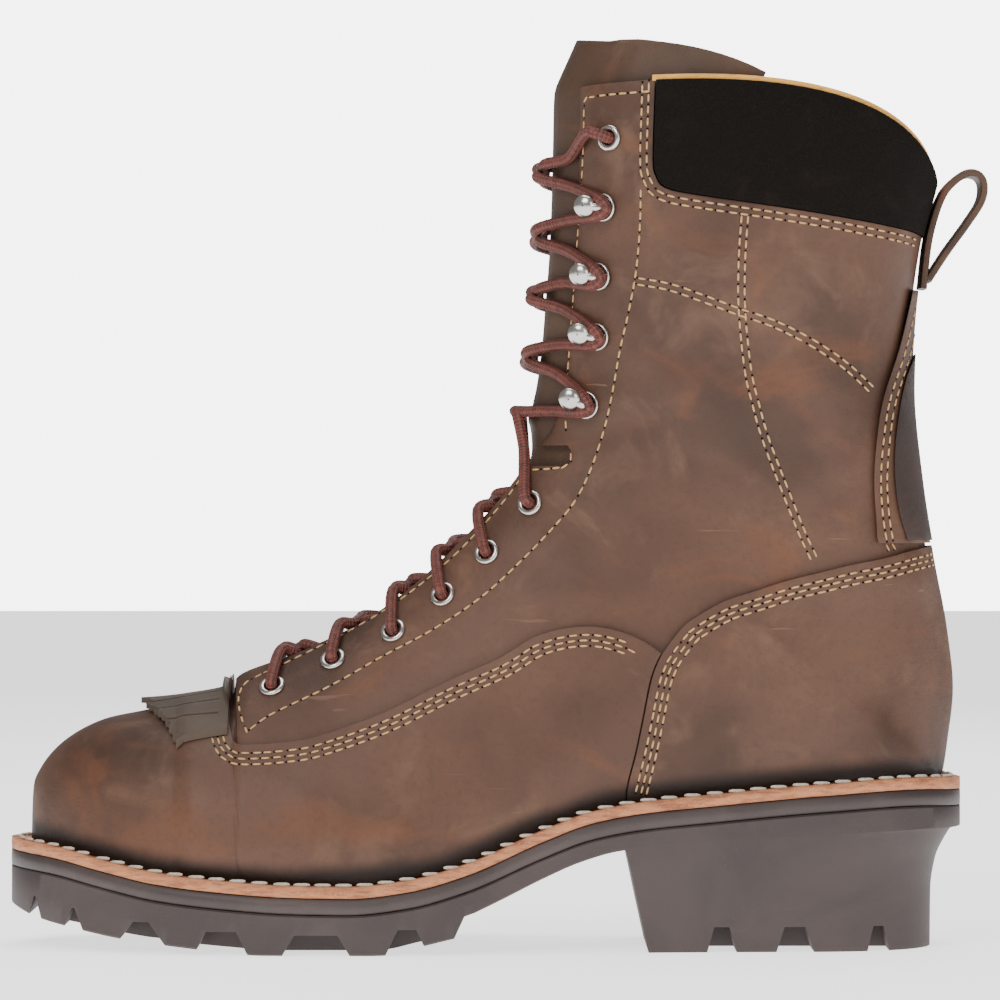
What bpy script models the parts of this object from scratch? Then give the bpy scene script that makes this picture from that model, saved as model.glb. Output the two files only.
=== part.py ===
"""Logger boot, left foot: laced leather shaft on a stitched sole with a tall slanted heel.

Metres, +Z up. The toe points to -X and the outer side of the foot to -Y.
Lengths along the boot run from the toe end of the sole, heights from the floor.
"""
import functools
import math

import bmesh
import bpy
import numpy as np
from mathutils import Matrix, Vector

# Driving dimensions
SOLE_LENGTH = 0.315        # toe end to heel end of the welt
SHAFT_HEIGHT = 0.284       # floor to the rim of the collar
BALL_WIDTH = 0.112         # widest part of the outsole
TOE_SWING = 0.005          # how far the toe end stands to the inner side
LEATHER = 0.0022           # wall of the upper
OVERLAY = 0.0018           # vamp, counter and backstay
FIT = 0.0003               # gap between pieces that lie on each other
STAND = 0.0006             # lower edge of the upper above the welt, which curves
WELT_THICK = 0.0037
MIDSOLE_THICK = 0.0050
INSOLE_RISE = 0.0028       # insole above the top of the welt
INSOLE_CLEAR = 0.0016      # round its edge, inside the wall of the upper
WELT_SHOWS = 0.0066        # welt that shows beside the upper
LUG_DEPTH = 0.0066
HEEL_BLOCK_DEPTH = 0.002   # how deep the heel block reaches into the sole above it
COLLAR_PAD = 0.0046
COLLAR_PROUD = 0.0008
TONGUE_THICK = 0.0024
TONGUE_CLEAR = 0.0006
TONGUE_LOW = -0.0030       # middle of the tongue in the foot part of the throat
TONGUE_BULGE = 0.0085      # middle of the tongue in the shaft part
TONGUE_RISE_ROW = 14
TONGUE_FULL_ROW = 20
TONGUE_COLUMNS = (0, 2, 3, 4)   # steps of the upper's sections that the tongue follows
COLLAR_ROW = 24            # from this section up the tongue lies inside the collar pad
COLLAR_STEP = 0.25
TONGUE_TOP = 0.0165        # tongue above the facings
TONGUE_LEAN = 0.45
KILTIE_THICK = 0.0018
KILTIE_HALF = 0.035
KILTIE_TIP = 0.142         # tips of the middle strips, share of SOLE_LENGTH
KILTIE_CORNER = 0.181      # tips of the outermost strips
KILTIE_SLIT_END = 0.222
KILTIE_BACK = 0.2325
KILTIE_STRIPS = 8
KILTIE_SLIT = 0.0009
KILTIE_EASE = 0.002        # how much narrower the flap is at its back edge
KILTIE_CURVE = 1.6         # how the tips step back from the middle
KILTIE_CORNER_CUT = 0.22   # cut corners of a tip, share of a strip's width
LOOP_WIDTH = 0.020
EYELET_RADIUS = 0.0033     # to the middle of the ring
EYELET_WIRE = 0.0010
EYELET_LIFT = 0.0012       # middle of the ring above the leather, which curves away
LACE_RADIUS = 0.0019
LACE_CLEAR = 0.0007
LACE_END_STEP = 0.10       # how far down the facing a crossing starts
HOOK_PLATE = 0.0046
HOOK_SHEET = 0.0009
HOOK_LIFT = 0.0005
HOOK_NECK = 0.0013
HOOK_HEAD = 0.0037
HOOK_REACH = 0.0066        # head above the plate
HOOK_FORWARD = 0.0040      # head towards the throat

UPPER_INSET = WELT_SHOWS + OVERLAY + FIT
WALL_INSET = UPPER_INSET + LEATHER

# Half widths of the sole beside its middle line, as shares of BALL_WIDTH
OUTLINE = (
    # along, outer, inner
    (0.00, 0.400, 0.410),
    (0.10, 0.430, 0.440),
    (0.20, 0.470, 0.470),
    (0.30, 0.498, 0.486),
    (0.38, 0.502, 0.470),
    (0.46, 0.478, 0.425),
    (0.56, 0.425, 0.360),
    (0.68, 0.380, 0.330),
    (0.80, 0.358, 0.340),
    (0.92, 0.350, 0.347),
    (1.00, 0.350, 0.350),
)
TOE_ROUND = 0.24
HEEL_ROUND = 0.15
ROUND_POWER = 2.25
SWING_END = 0.34
SOLE_ROWS = 40

# Top of the welt: along as a share of SOLE_LENGTH, height of SHAFT_HEIGHT
WELT_TOP = (
    (0.00, 0.1255),
    (0.05, 0.1190),
    (0.10, 0.1065),
    (0.16, 0.0925),
    (0.23, 0.0840),
    (0.30, 0.0790),
    (0.36, 0.0780),
    (0.42, 0.0850),
    (0.48, 0.1030),
    (0.56, 0.1410),
    (0.61, 0.1615),
    (0.66, 0.1720),
    (0.74, 0.1810),
    (0.85, 0.1920),
    (0.95, 0.1985),
    (1.00, 0.1960),
)

# Underside of the outsole: tread of the forepart, then the arch up to the heel
TREAD = (
    (0.000, 0.0500),
    (0.030, 0.0370),
    (0.070, 0.0270),
    (0.125, 0.0160),
    (0.180, 0.0090),
    (0.240, 0.0025),
    (0.270, 0.0000),
    (0.390, 0.0000),
    (0.430, 0.0090),
    (0.478, 0.0215),
)
ARCH = (
    (0.482, 0.0440),
    (0.520, 0.0640),
    (0.560, 0.0860),
    (0.600, 0.1050),
    (0.640, 0.1170),
    (0.700, 0.1240),
    (1.000, 0.1400),
)

# Sections of the upper, from the toe to the rim of the shaft. Each row runs from a top point
# on the front of the boot to a low point on the welt, or behind the heel on the back line.
# Lengths are shares of SOLE_LENGTH, heights of SHAFT_HEIGHT, widths of BALL_WIDTH.
SECTION_COLUMNS = ("top_x", "top_z", "low_x", "low_z", "outer", "inner",
                   "belly", "crown", "gap", "lift", "turn")
SECTIONS = (
    (0.0285, 0.1650, 0.0276, 0.125, 0.000, 0.000, 0.70, 2.2, 0.000, 0.000, 1.0),
    (0.0300, 0.1860, 0.0290, 0.124, 0.000, 0.000, 0.70, 2.2, 0.000, 0.000, 1.0),
    (0.0370, 0.2030, 0.0345, 0.123, 0.000, 0.000, 0.71, 2.2, 0.000, 0.000, 1.0),
    (0.0520, 0.2240, 0.0480, 0.119, 0.000, 0.000, 0.72, 2.2, 0.000, 0.000, 1.0),
    (0.0760, 0.2435, 0.0720, 0.113, 0.000, 0.000, 0.74, 2.2, 0.000, 0.000, 1.0),
    (0.1040, 0.2570, 0.1020, 0.106, 0.000, 0.000, 0.76, 2.2, 0.000, 0.000, 1.0),
    (0.1430, 0.2660, 0.1450, 0.096, 0.000, 0.000, 0.78, 2.2, 0.000, 0.000, 1.0),
    (0.1890, 0.2770, 0.1950, 0.088, 0.410, 0.405, 0.80, 2.0, 0.000, 0.000, 1.0),
    (0.2340, 0.2910, 0.2480, 0.082, 0.430, 0.415, 0.82, 1.75, 0.000, 0.000, 1.0),
    (0.2385, 0.3110, 0.2540, 0.081, 0.440, 0.425, 0.82, 1.45, 0.080, 0.000, 1.0),
    (0.2970, 0.3380, 0.3150, 0.078, 0.440, 0.425, 0.83, 1.4, 0.085, 0.000, 1.0),
    (0.3640, 0.3720, 0.4000, 0.082, 0.425, 0.405, 0.83, 1.4, 0.088, 0.000, 1.0),
    (0.4260, 0.4210, 0.5000, 0.112, 0.390, 0.375, 0.82, 1.45, 0.090, 0.000, 1.0),
    (0.4740, 0.4710, 0.6000, 0.158, 0.355, 0.345, 0.78, 1.55, 0.095, 0.000, 1.0),
    (0.5170, 0.5220, 0.7000, 0.177, 0.335, 0.335, 0.72, 1.7, 0.102, 0.000, 1.1),
    (0.5420, 0.5590, 0.7950, 0.187, 0.325, 0.330, 0.66, 1.8, 0.112, 0.000, 1.25),
    (0.5570, 0.5810, 0.8800, 0.194, 0.320, 0.325, 0.62, 1.9, 0.124, 0.000, 1.55),
    (0.5660, 0.5940, 0.9350, 0.198, 0.317, 0.320, 0.60, 2.0, 0.130, 0.000, 1.95),
    (0.5710, 0.6040, 0.9640, 0.198, 0.315, 0.318, 0.58, 2.0, 0.135, 0.000, 2.25),
    (0.5745, 0.6160, 0.9730, 0.198, 0.313, 0.317, 0.57, 2.0, 0.139, 0.000, 2.4),
    (0.5780, 0.6320, 0.9810, 0.245, 0.312, 0.317, 0.56, 2.0, 0.143, 0.000, 2.4),
    (0.5810, 0.6500, 0.9860, 0.300, 0.313, 0.318, 0.55, 2.0, 0.146, 0.000, 2.4),
    (0.5840, 0.6720, 0.9790, 0.372, 0.317, 0.320, 0.54, 2.0, 0.150, 0.000, 2.4),
    (0.5870, 0.7020, 0.9660, 0.450, 0.327, 0.328, 0.53, 2.0, 0.155, 0.000, 2.4),
    (0.5900, 0.7450, 0.9530, 0.540, 0.348, 0.348, 0.52, 2.0, 0.160, 0.000, 2.4),
    (0.5940, 0.8000, 0.9440, 0.645, 0.373, 0.373, 0.51, 2.0, 0.165, 0.000, 2.4),
    (0.5965, 0.8620, 0.9480, 0.735, 0.392, 0.390, 0.50, 2.0, 0.168, 0.018, 2.4),
    (0.5980, 0.9300, 0.9590, 0.822, 0.402, 0.400, 0.50, 2.0, 0.170, 0.050, 2.4),
    (0.5990, 0.9960, 0.9730, 0.884, 0.407, 0.405, 0.50, 2.0, 0.171, 0.094, 2.4),
)
THROAT_ROW = 9             # first section with an open throat
HEEL_ROW = 19              # section whose low point is the heel end of the welt
SPLIT_ROWS = (9, 10, 11, 12, 13)
CROWN_STEPS = 5
SIDE_STEPS = 4
SIDE_POWER = 2.4           # roundness of the sections below their widest place
HEEL_EASE_FROM = 0.78      # behind and below these shares the sides of the heel are evened out
HEEL_EASE_BELOW = 0.42
HEEL_EASE_TIMES = 3
BACK_LINE = 0.002          # half width of the back line, which keeps its shape

# Side view outlines: along as shares of SOLE_LENGTH, height of SHAFT_HEIGHT
VAMP_EDGE = (
    (0.2335, 0.400), (0.2335, 0.262), (0.240, 0.241), (0.256, 0.238), (0.295, 0.241),
    (0.328, 0.248), (0.394, 0.274), (0.460, 0.310), (0.515, 0.337), (0.549, 0.360),
    (0.582, 0.371), (0.615, 0.373), (0.647, 0.365), (0.668, 0.354),
)
COUNTER_FRONT = (
    (0.6475, 0.150), (0.6475, 0.185), (0.657, 0.229), (0.664, 0.266), (0.672, 0.310),
    (0.679, 0.332), (0.686, 0.346),
)
COUNTER_TOP = (
    (0.701, 0.368), (0.714, 0.381), (0.747, 0.402), (0.780, 0.414), (0.813, 0.426),
    (0.850, 0.436), (0.880, 0.444), (0.913, 0.451), (0.945, 0.460), (0.975, 0.467),
)
BACKSTAY_EDGE = (
    (0.945, 0.464), (0.912, 0.459), (0.906, 0.500), (0.904, 0.546), (0.908, 0.598),
    (0.915, 0.639), (0.932, 0.694), (0.944, 0.746), (0.947, 0.762),
)
BACKSTAY_TOP = 0.762
COUNTER_LINE = 0.467       # seam between counter and backstay at the back
PAST_HEEL = 1.2            # behind the boot, past its toe, and above the vamp: cutters' corners
BEFORE_TOE = -0.1
OVER_VAMP = 0.40
COLLAR_LOW = 0.80
COLLAR_HIGH = 1.06
COLLAR_EDGE = (
    (0.677, 1.060), (0.675, 0.985), (0.673, 0.910), (0.676, 0.890), (0.686, 0.876),
    (0.722, 0.867), (0.825, 0.850), (0.929, 0.831), (0.955, 0.825),
)
NOTCH = ((0.500, 0.558), (0.586, 0.558), (0.586, 0.582), (0.500, 0.582))
LOOP_OUTER = (
    (0.9665, 0.828), (0.9745, 0.855), (0.9775, 0.880), (0.990, 0.898), (1.006, 0.909),
    (1.019, 0.909), (1.030, 0.894), (1.029, 0.873), (1.016, 0.852), (0.997, 0.824),
    (0.980, 0.794), (0.966, 0.765), (0.9625, 0.768), (0.9635, 0.800),
)
LOOP_HOLE = (
    (0.9775, 0.8285), (0.989, 0.861), (1.001, 0.889), (1.010, 0.893), (1.017, 0.886),
    (1.0145, 0.866), (0.9935, 0.8325),
)
EYELETS = (
    (0.278, 0.303), (0.341, 0.334), (0.404, 0.367), (0.456, 0.409), (0.502, 0.458),
    (0.547, 0.515),
)
HOOKS = ((0.606, 0.628), (0.617, 0.707), (0.619, 0.776), (0.624, 0.855))
TOP_EYELET = (0.629, 0.935)

# Tread pattern
SIDE_GAPS = (
    # along, half width at the tread, half width at the root, all as shares of SOLE_LENGTH
    (0.030, 0.0068, 0.0010), (0.0725, 0.0100, 0.0015), (0.145, 0.0237, 0.0084),
    (0.2287, 0.0263, 0.0158), (0.3267, 0.0348, 0.0221), (0.4200, 0.0195, 0.0095),
)
HEEL_GAPS = (
    (0.745, 0.0153, 0.0079), (0.821, 0.0195, 0.0110), (0.908, 0.0116, 0.0053),
)
GAP_REACH = 0.026          # how far a side gap runs in from the edge of the sole
CHANNEL_IN = 0.019         # channel between side lugs and middle lugs, from the edge
CHANNEL_WIDE = 0.005
HEEL_GAP_DEPTH = 0.0082
HEEL_ISLAND = 0.011        # half width of the uncut middle of the heel
MIDDLE_GAPS = (0.19, 0.28, 0.375)
MIDDLE_GAP_WIDE = 0.0035

# Heel block: height share of the breast's top, place of breast and back along the sole
HEEL_BREAST = ((0.0, 0.669), (0.4, 0.659), (0.8, 0.6495), (1.0, 0.644))
HEEL_BACK = ((0.0, 0.9685), (0.45, 0.9690), (0.70, 0.9740), (0.85, 0.9830), (1.0, 0.9960))
HEEL_LEVELS = (0.0, 0.15, 0.30, 0.45, 0.58, 0.70, 0.80, 0.90, 1.0)
HEEL_SIDE_POINTS = 12
HEEL_SIDE_TAPER = 0.0016


def clear_scene():
    """Remove every object of the scene."""
    for item in list(bpy.data.objects):
        bpy.data.objects.remove(item, do_unlink=True)


def collection(name):
    """A new collection in the scene."""
    group = bpy.data.collections.new(name)
    bpy.context.scene.collection.children.link(group)
    return group


def smooth_value(table, place, column=1):
    """Value of a table's column at a place: a smooth curve with no overshoot."""
    xs = [row[0] for row in table]
    ys = [row[column] for row in table]
    return smooth_curve(xs, ys, place)


def smooth_curve(xs, ys, place):
    """Monotone cubic through the points, flat past the ends."""
    if place <= xs[0]:
        return ys[0]
    if place >= xs[-1]:
        return ys[-1]
    slopes = [(ys[i + 1] - ys[i]) / (xs[i + 1] - xs[i]) for i in range(len(xs) - 1)]
    i = max(k for k in range(len(xs) - 1) if xs[k] <= place)

    def tangent(k):
        if k == 0:
            return slopes[0]
        if k == len(xs) - 1:
            return slopes[-1]
        before, after = slopes[k - 1], slopes[k]
        if before * after <= 0.0:
            return 0.0
        return 2.0 * before * after / (before + after)

    width = xs[i + 1] - xs[i]
    t = (place - xs[i]) / width
    return ((2 * t**3 - 3 * t**2 + 1) * ys[i] + (t**3 - 2 * t**2 + t) * width * tangent(i)
            + (3 * t**2 - 2 * t**3) * ys[i + 1] + (t**3 - t**2) * width * tangent(i + 1))


def along(share):
    """Length from the toe end for a share of the sole's length."""
    return share * SOLE_LENGTH


def high(share):
    """Height above the floor for a share of the shaft's height."""
    return share * SHAFT_HEIGHT


def middle_line(x):
    """Where the sole's middle line lies across the boot, to the inner side at the toe."""
    rest = max(0.0, 1.0 - x / along(SWING_END))
    return TOE_SWING * rest**2


def welt_top(x):
    """Height of the welt's top at a length from the toe end."""
    return high(smooth_value(WELT_TOP, x / SOLE_LENGTH))


def midsole_top(x):
    """Height of the midsole's top, just under the welt."""
    return welt_top(x) - WELT_THICK - FIT


def midsole_bottom(x):
    """Height of the midsole's underside."""
    return midsole_top(x) - MIDSOLE_THICK


def outsole_top(x):
    """Height of the outsole's top, just under the midsole."""
    return midsole_bottom(x) - FIT


def tread_bottom(x):
    """Underside of the outsole before any gap is cut."""
    share = x / SOLE_LENGTH
    if share < TREAD[-1][0]:
        return high(smooth_value(TREAD, share))
    return high(smooth_value(ARCH, share))


@functools.lru_cache(maxsize=None)
def edge_points(side, inset=0.0, count=120):
    """One edge of the sole from toe end to heel end, moved in by the inset."""
    column = 1 if side < 0 else 2
    points = []
    for i in range(count + 1):
        share = 0.5 - 0.5 * math.cos(math.pi * i / count)
        half = smooth_value(OUTLINE, share, column) * BALL_WIDTH
        if share < TOE_ROUND:
            half *= max(0.0, 1.0 - (1.0 - share / TOE_ROUND)**ROUND_POWER)**(1.0 / ROUND_POWER)
        if share > 1.0 - HEEL_ROUND:
            past = (share - 1.0 + HEEL_ROUND) / HEEL_ROUND
            half *= max(0.0, 1.0 - past**ROUND_POWER)**(1.0 / ROUND_POWER)
        x = along(share)
        points.append((x, middle_line(x) + side * half))
    points = np.array(points)
    if inset == 0.0:
        return points
    step = np.gradient(points, axis=0)
    step[0] = (0.0, side)
    step[-1] = (0.0, -side)
    step /= np.linalg.norm(step, axis=1)[:, None]
    inward = np.stack([-step[:, 1] * -side, step[:, 0] * -side], axis=1)
    moved = points + inward * inset
    moved[0, 1] = points[0, 1]
    moved[-1, 1] = points[-1, 1]
    return moved


def stations(first, last):
    """Lengths where every slab of the sole has a row, so that their faces stay parallel."""
    shares = [0.5 - 0.5 * math.cos(math.pi * i / SOLE_ROWS) for i in range(SOLE_ROWS + 1)]
    inside = [along(s) for s in shares if first + 0.0006 < along(s) < last - 0.0006]
    return [first] + inside + [last]


def half_width(x, side, inset):
    """Distance from the middle line to the sole's edge less the inset."""
    edge = edge_points(side, inset)
    reach = np.interp(x, edge[:, 0], np.abs(edge[:, 1] - [middle_line(v) for v in edge[:, 0]]),
                      left=0.0, right=0.0)
    return float(reach)


def plain_material(name, colour, roughness, metallic=0.0):
    """A plain Principled material."""
    material = bpy.data.materials.new(name)
    material.use_nodes = True
    shader = material.node_tree.nodes["Principled BSDF"]
    shader.inputs["Base Color"].default_value = (*colour, 1.0)
    shader.inputs["Roughness"].default_value = roughness
    shader.inputs["Metallic"].default_value = metallic
    return material


def add_object(name, mesh, group, colour=(0.1, 0.06, 0.04), roughness=0.5, metallic=0.0):
    """Put a mesh in the scene as one named piece with its own material."""
    item = bpy.data.objects.new(name, mesh)
    item.data.materials.append(plain_material(name + "_finish", colour, roughness, metallic))
    group.objects.link(item)
    return item


def mesh_of(bm, name, smooth=True):
    """Turn a bmesh into a mesh, with its faces pointing out."""
    mesh = bpy.data.meshes.new(name)
    bm.to_mesh(mesh)
    bm.free()
    if smooth:
        mesh.shade_smooth()
        mesh.set_sharp_from_angle(angle=math.radians(35))
    return mesh


def add_cutter(name, bm, cutters):
    """Put a bmesh in the scene as a hidden cutter."""
    bmesh.ops.recalc_face_normals(bm, faces=bm.faces)
    item = bpy.data.objects.new(name, mesh_of(bm, name, smooth=False))
    item.hide_render = True
    item.display_type = "WIRE"
    cutters.objects.link(item)
    return item


def boolean(item, cutter, operation):
    """Add a Boolean modifier."""
    step = item.modifiers.new(operation.lower() + "_" + cutter.name, "BOOLEAN")
    step.operation = operation
    step.object = cutter
    step.solver = "EXACT"


def side_prism(name, outline, cutters, reach=(-0.09, 0.09)):
    """Cutter with a side view outline, right across the boot."""
    bm = bmesh.new()
    verts = [bm.verts.new((along(x), reach[0], high(z))) for x, z in outline]
    face = bm.faces.new(verts)
    grown = bmesh.ops.extrude_face_region(bm, geom=[face])
    moved = [v for v in grown["geom"] if isinstance(v, bmesh.types.BMVert)]
    bmesh.ops.translate(bm, verts=moved, vec=(0.0, reach[1] - reach[0], 0.0))
    return add_cutter(name, bm, cutters)


def strip_loft(rows):
    """Closed loft through rows of the same number of points; single points merge at the ends."""
    bm = bmesh.new()
    grid = [[bm.verts.new(point) for point in row] for row in rows]
    count = len(rows[0])
    for first, second in zip(grid[:-1], grid[1:]):
        for i in range(count):
            k = (i + 1) % count
            bm.faces.new((first[i], first[k], second[k], second[i]))
    bm.faces.new(grid[0])
    bm.faces.new(list(reversed(grid[-1])))
    bmesh.ops.remove_doubles(bm, verts=bm.verts, dist=0.00002)
    bmesh.ops.recalc_face_normals(bm, faces=bm.faces)
    return bm


def sole_slab(inset, top, bottom):
    """Slab with the sole's outline between two height functions."""
    outer = edge_points(-1, inset)
    inner = edge_points(1, inset)
    rows = []
    for x in stations(outer[0, 0], outer[-1, 0]):
        yo = float(np.interp(x, outer[:, 0], outer[:, 1]))
        yi = float(np.interp(x, inner[:, 0], inner[:, 1]))
        rows.append([(x, yo, top(x)), (x, yi, top(x)), (x, yi, bottom(x)), (x, yo, bottom(x))])
    return strip_loft(rows)


def lane(side, near, far, depth_top, depth_bottom, start, end, count=16):
    """Slab that follows one edge of the sole, between two distances in from it."""
    near_edge = edge_points(side, near)
    far_edge = edge_points(side, far)
    rows = []
    for share in np.linspace(start, end, count):
        x = along(share)
        y1 = float(np.interp(x, near_edge[:, 0], near_edge[:, 1]))
        y2 = float(np.interp(x, far_edge[:, 0], far_edge[:, 1]))
        rows.append([(x, y1, depth_top(x)), (x, y2, depth_top(x)), (x, y2, depth_bottom(x)),
                     (x, y1, depth_bottom(x))])
    return strip_loft(rows)


def make_midsole(group):
    """Rubber strip between the outsole and the welt."""
    bm = sole_slab(0.0, midsole_top, midsole_bottom)
    add_object("midsole", mesh_of(bm, "midsole"), group, (0.07, 0.05, 0.047), 0.45)


def make_insole(group):
    """Slab inside the welt ring and the wall of the upper."""
    bm = sole_slab(WALL_INSET + INSOLE_CLEAR, lambda x: welt_top(x) + INSOLE_RISE,
                   lambda x: midsole_top(x) + FIT)
    add_object("insole", mesh_of(bm, "insole"), group, (0.35, 0.22, 0.12), 0.8)


def make_welt(group, cutters):
    """Ring between the midsole and the upper, level across its width."""
    bm = sole_slab(0.0, welt_top, lambda x: welt_top(x) - WELT_THICK)
    welt = add_object("welt", mesh_of(bm, "welt"), group, (0.55, 0.22, 0.08), 0.6)
    middle = sole_slab(WALL_INSET, lambda x: welt_top(x) + 0.01, lambda x: welt_top(x) - 0.01)
    boolean(welt, add_cutter("welt_middle", middle, cutters), "DIFFERENCE")


def heel_block():
    """Heel under the arch slab: slanted breast, round back that draws in towards the floor."""
    outer = edge_points(-1)
    inner = edge_points(1)
    rows = []
    for level in HEEL_LEVELS:
        front = along(smooth_value(HEEL_BREAST, level))
        back = along(smooth_value(HEEL_BACK, level))
        taper = HEEL_SIDE_TAPER * (1.0 - level)
        shares = 1.0 - (1.0 - np.linspace(0.0, 1.0, HEEL_SIDE_POINTS))**2
        row = []
        for edge, sign, order in ((outer, 1.0, shares), (inner, -1.0, shares[::-1][1:])):
            for share in order:
                x = front + (back - front) * share
                source = front + (along(1.0) - front) * share
                y = float(np.interp(source, edge[:, 0], edge[:, 1]))
                if share < 1.0:
                    y += sign * taper
                row.append((x, y, level * (tread_bottom(source) + HEEL_BLOCK_DEPTH)))
        rows.append(row)
    return strip_loft(rows)


def wedge(x, half_low, half_top, y0, y1, z_top, depth):
    """Cutter for a tread gap that narrows upwards; it starts well under the tread."""
    under = 1.5
    half_under = half_top + (half_low - half_top) * under
    rows = []
    for y in (y0, y1):
        rows.append([(x - half_under, y, z_top - under * depth),
                     (x + half_under, y, z_top - under * depth),
                     (x + half_top, y, z_top), (x - half_top, y, z_top)])
    return strip_loft(rows)


def make_outsole(group, cutters):
    """Lugged forepart, arch and heel in one moulded piece."""
    slab = sole_slab(0.0, outsole_top, tread_bottom)
    outsole = add_object("outsole", mesh_of(slab, "outsole"), group, (0.055, 0.04, 0.037), 0.6)
    block = add_cutter("heel_block", heel_block(), cutters)
    boolean(outsole, block, "UNION")

    def root(x):
        return tread_bottom(x) + LUG_DEPTH

    def cut(name, cutter):
        boolean(outsole, add_cutter(name, cutter, cutters), "DIFFERENCE")

    for side, word in ((-1, "outer"), (1, "inner")):
        cut("channel_" + word, lane(side, CHANNEL_IN, CHANNEL_IN + CHANNEL_WIDE, root,
                                    lambda x: tread_bottom(x) - LUG_DEPTH, 0.10, 0.44))
        for number, (share, low, top) in enumerate(SIDE_GAPS):
            x = along(share)
            reach = max(0.0, half_width(x, side, 0.0) - GAP_REACH)
            inside = middle_line(x) + side * reach
            cut("gap_%d_%s" % (number, word),
                wedge(x, along(low), along(top), inside, side * BALL_WIDTH, root(x), LUG_DEPTH))
        for number, (share, low, top) in enumerate(HEEL_GAPS):
            cut("heel_gap_%d_%s" % (number, word),
                wedge(along(share), along(low), along(top), side * HEEL_ISLAND,
                      side * BALL_WIDTH, HEEL_GAP_DEPTH, HEEL_GAP_DEPTH))
    for number, share in enumerate(MIDDLE_GAPS):
        x = along(share)
        reach = 0.5 * BALL_WIDTH - CHANNEL_IN - 0.5 * CHANNEL_WIDE
        cut("middle_gap_%d" % number,
            wedge(x, MIDDLE_GAP_WIDE, 0.5 * MIDDLE_GAP_WIDE, -reach, reach, root(x), LUG_DEPTH))
    return outsole


def section(place):
    """All columns of the section table at a place between its rows."""
    rows = list(range(len(SECTIONS)))
    values = {}
    for column, name in enumerate(SECTION_COLUMNS):
        values[name] = smooth_curve(rows, [row[column] for row in SECTIONS], place)
    return values


def section_steps():
    """Positions down a section, from 0 at the top point to 2 at the low point."""
    crown = [1.0 - math.cos(0.5 * math.pi * i / CROWN_STEPS) for i in range(CROWN_STEPS + 1)]
    side = [1.0 + math.sin(0.5 * math.pi * i / SIDE_STEPS) for i in range(1, SIDE_STEPS + 1)]
    return crown + side


def section_points(place, side, steps):
    """Points of one side of a section, from its top point to its low point."""
    s = section(place)
    top = Vector((along(s["top_x"]), 0.0, high(s["top_z"])))
    low = Vector((along(s["low_x"]), 0.0, high(s["low_z"])))
    foot = 0.0
    if place <= HEEL_ROW:
        low.z = welt_top(low.x) + STAND
        foot = half_width(low.x, side, UPPER_INSET)
        if place >= HEEL_ROW:
            foot = 0.0
    column = "outer" if side < 0 else "inner"
    belly_half = max(s[column] * BALL_WIDTH, foot * 1.02)
    gap = s["gap"] * BALL_WIDTH if place >= THROAT_ROW else 0.0
    rise = high(s["lift"])
    handle_a = top.lerp(low, 1.0 / 3.0) + Vector((0.0, 0.0, 0.5 * rise))
    handle_b = top.lerp(low, 2.0 / 3.0) + Vector((rise, 0.0, rise))
    points = []
    for step in steps:
        if step <= 1.0:
            v = s["belly"] * step
            power = s["crown"]
            half = gap + (belly_half - gap) * (1.0 - (1.0 - step)**power)**(1.0 / power)
        else:
            u = step - 1.0
            v = s["belly"] + (1.0 - s["belly"]) * u
            half = foot + (belly_half - foot) * max(0.0, 1.0 - u**SIDE_POWER)**(1.0 / s["turn"])
        w = 1.0 - v
        point = (w**3 * top + 3 * w * w * v * handle_a + 3 * w * v * v * handle_b
                 + v**3 * low)
        point.y = middle_line(point.x) + side * half
        points.append(point)
    return points


def row_places():
    """Where along the section table the upper has a row of points."""
    places = list(range(len(SECTIONS)))
    places += [row + 0.5 for row in SPLIT_ROWS]
    return sorted(places)


def upper_surface():
    """Open surface of the upper as a bmesh, merged where its two sides meet."""
    steps = section_steps()
    places = row_places()
    bm = bmesh.new()
    grid = []
    for place in places:
        outer = section_points(place, -1, steps)
        inner = section_points(place, 1, steps)
        if place == 0.0:
            for point in outer + inner:
                point.y = middle_line(point.x)
        grid.append([bm.verts.new(p) for p in reversed(outer)] + [bm.verts.new(p) for p in inner])
    half = len(steps)
    for first, second in zip(grid[:-1], grid[1:]):
        for col in range(2 * half - 1):
            if col != half - 1:
                bm.faces.new((first[col], second[col], second[col + 1], first[col + 1]))
    bmesh.ops.remove_doubles(bm, verts=bm.verts, dist=0.00002)
    even_heel(bm)
    bmesh.ops.triangulate(bm, faces=bm.faces, quad_method="SHORT_EDGE")
    bm.normal_update()
    bm.verts.index_update()
    return bm


def even_heel(bm):
    """Even out the sides of the heel, where the sections fan out from the welt to the back."""
    sides = [v for v in bm.verts
             if not v.is_boundary and abs(v.co.y) > BACK_LINE
             and v.co.x > along(HEEL_EASE_FROM) and v.co.z < high(HEEL_EASE_BELOW)]
    for _ in range(HEEL_EASE_TIMES):
        bmesh.ops.smooth_vert(bm, verts=sides, factor=0.5,
                              use_axis_x=True, use_axis_y=True, use_axis_z=True)


def on_welt(vert):
    """Whether a vertex is on the lower edge that stands on the welt."""
    return vert.is_boundary and vert.co.z < welt_top(vert.co.x) + 2.0 * STAND


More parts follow.
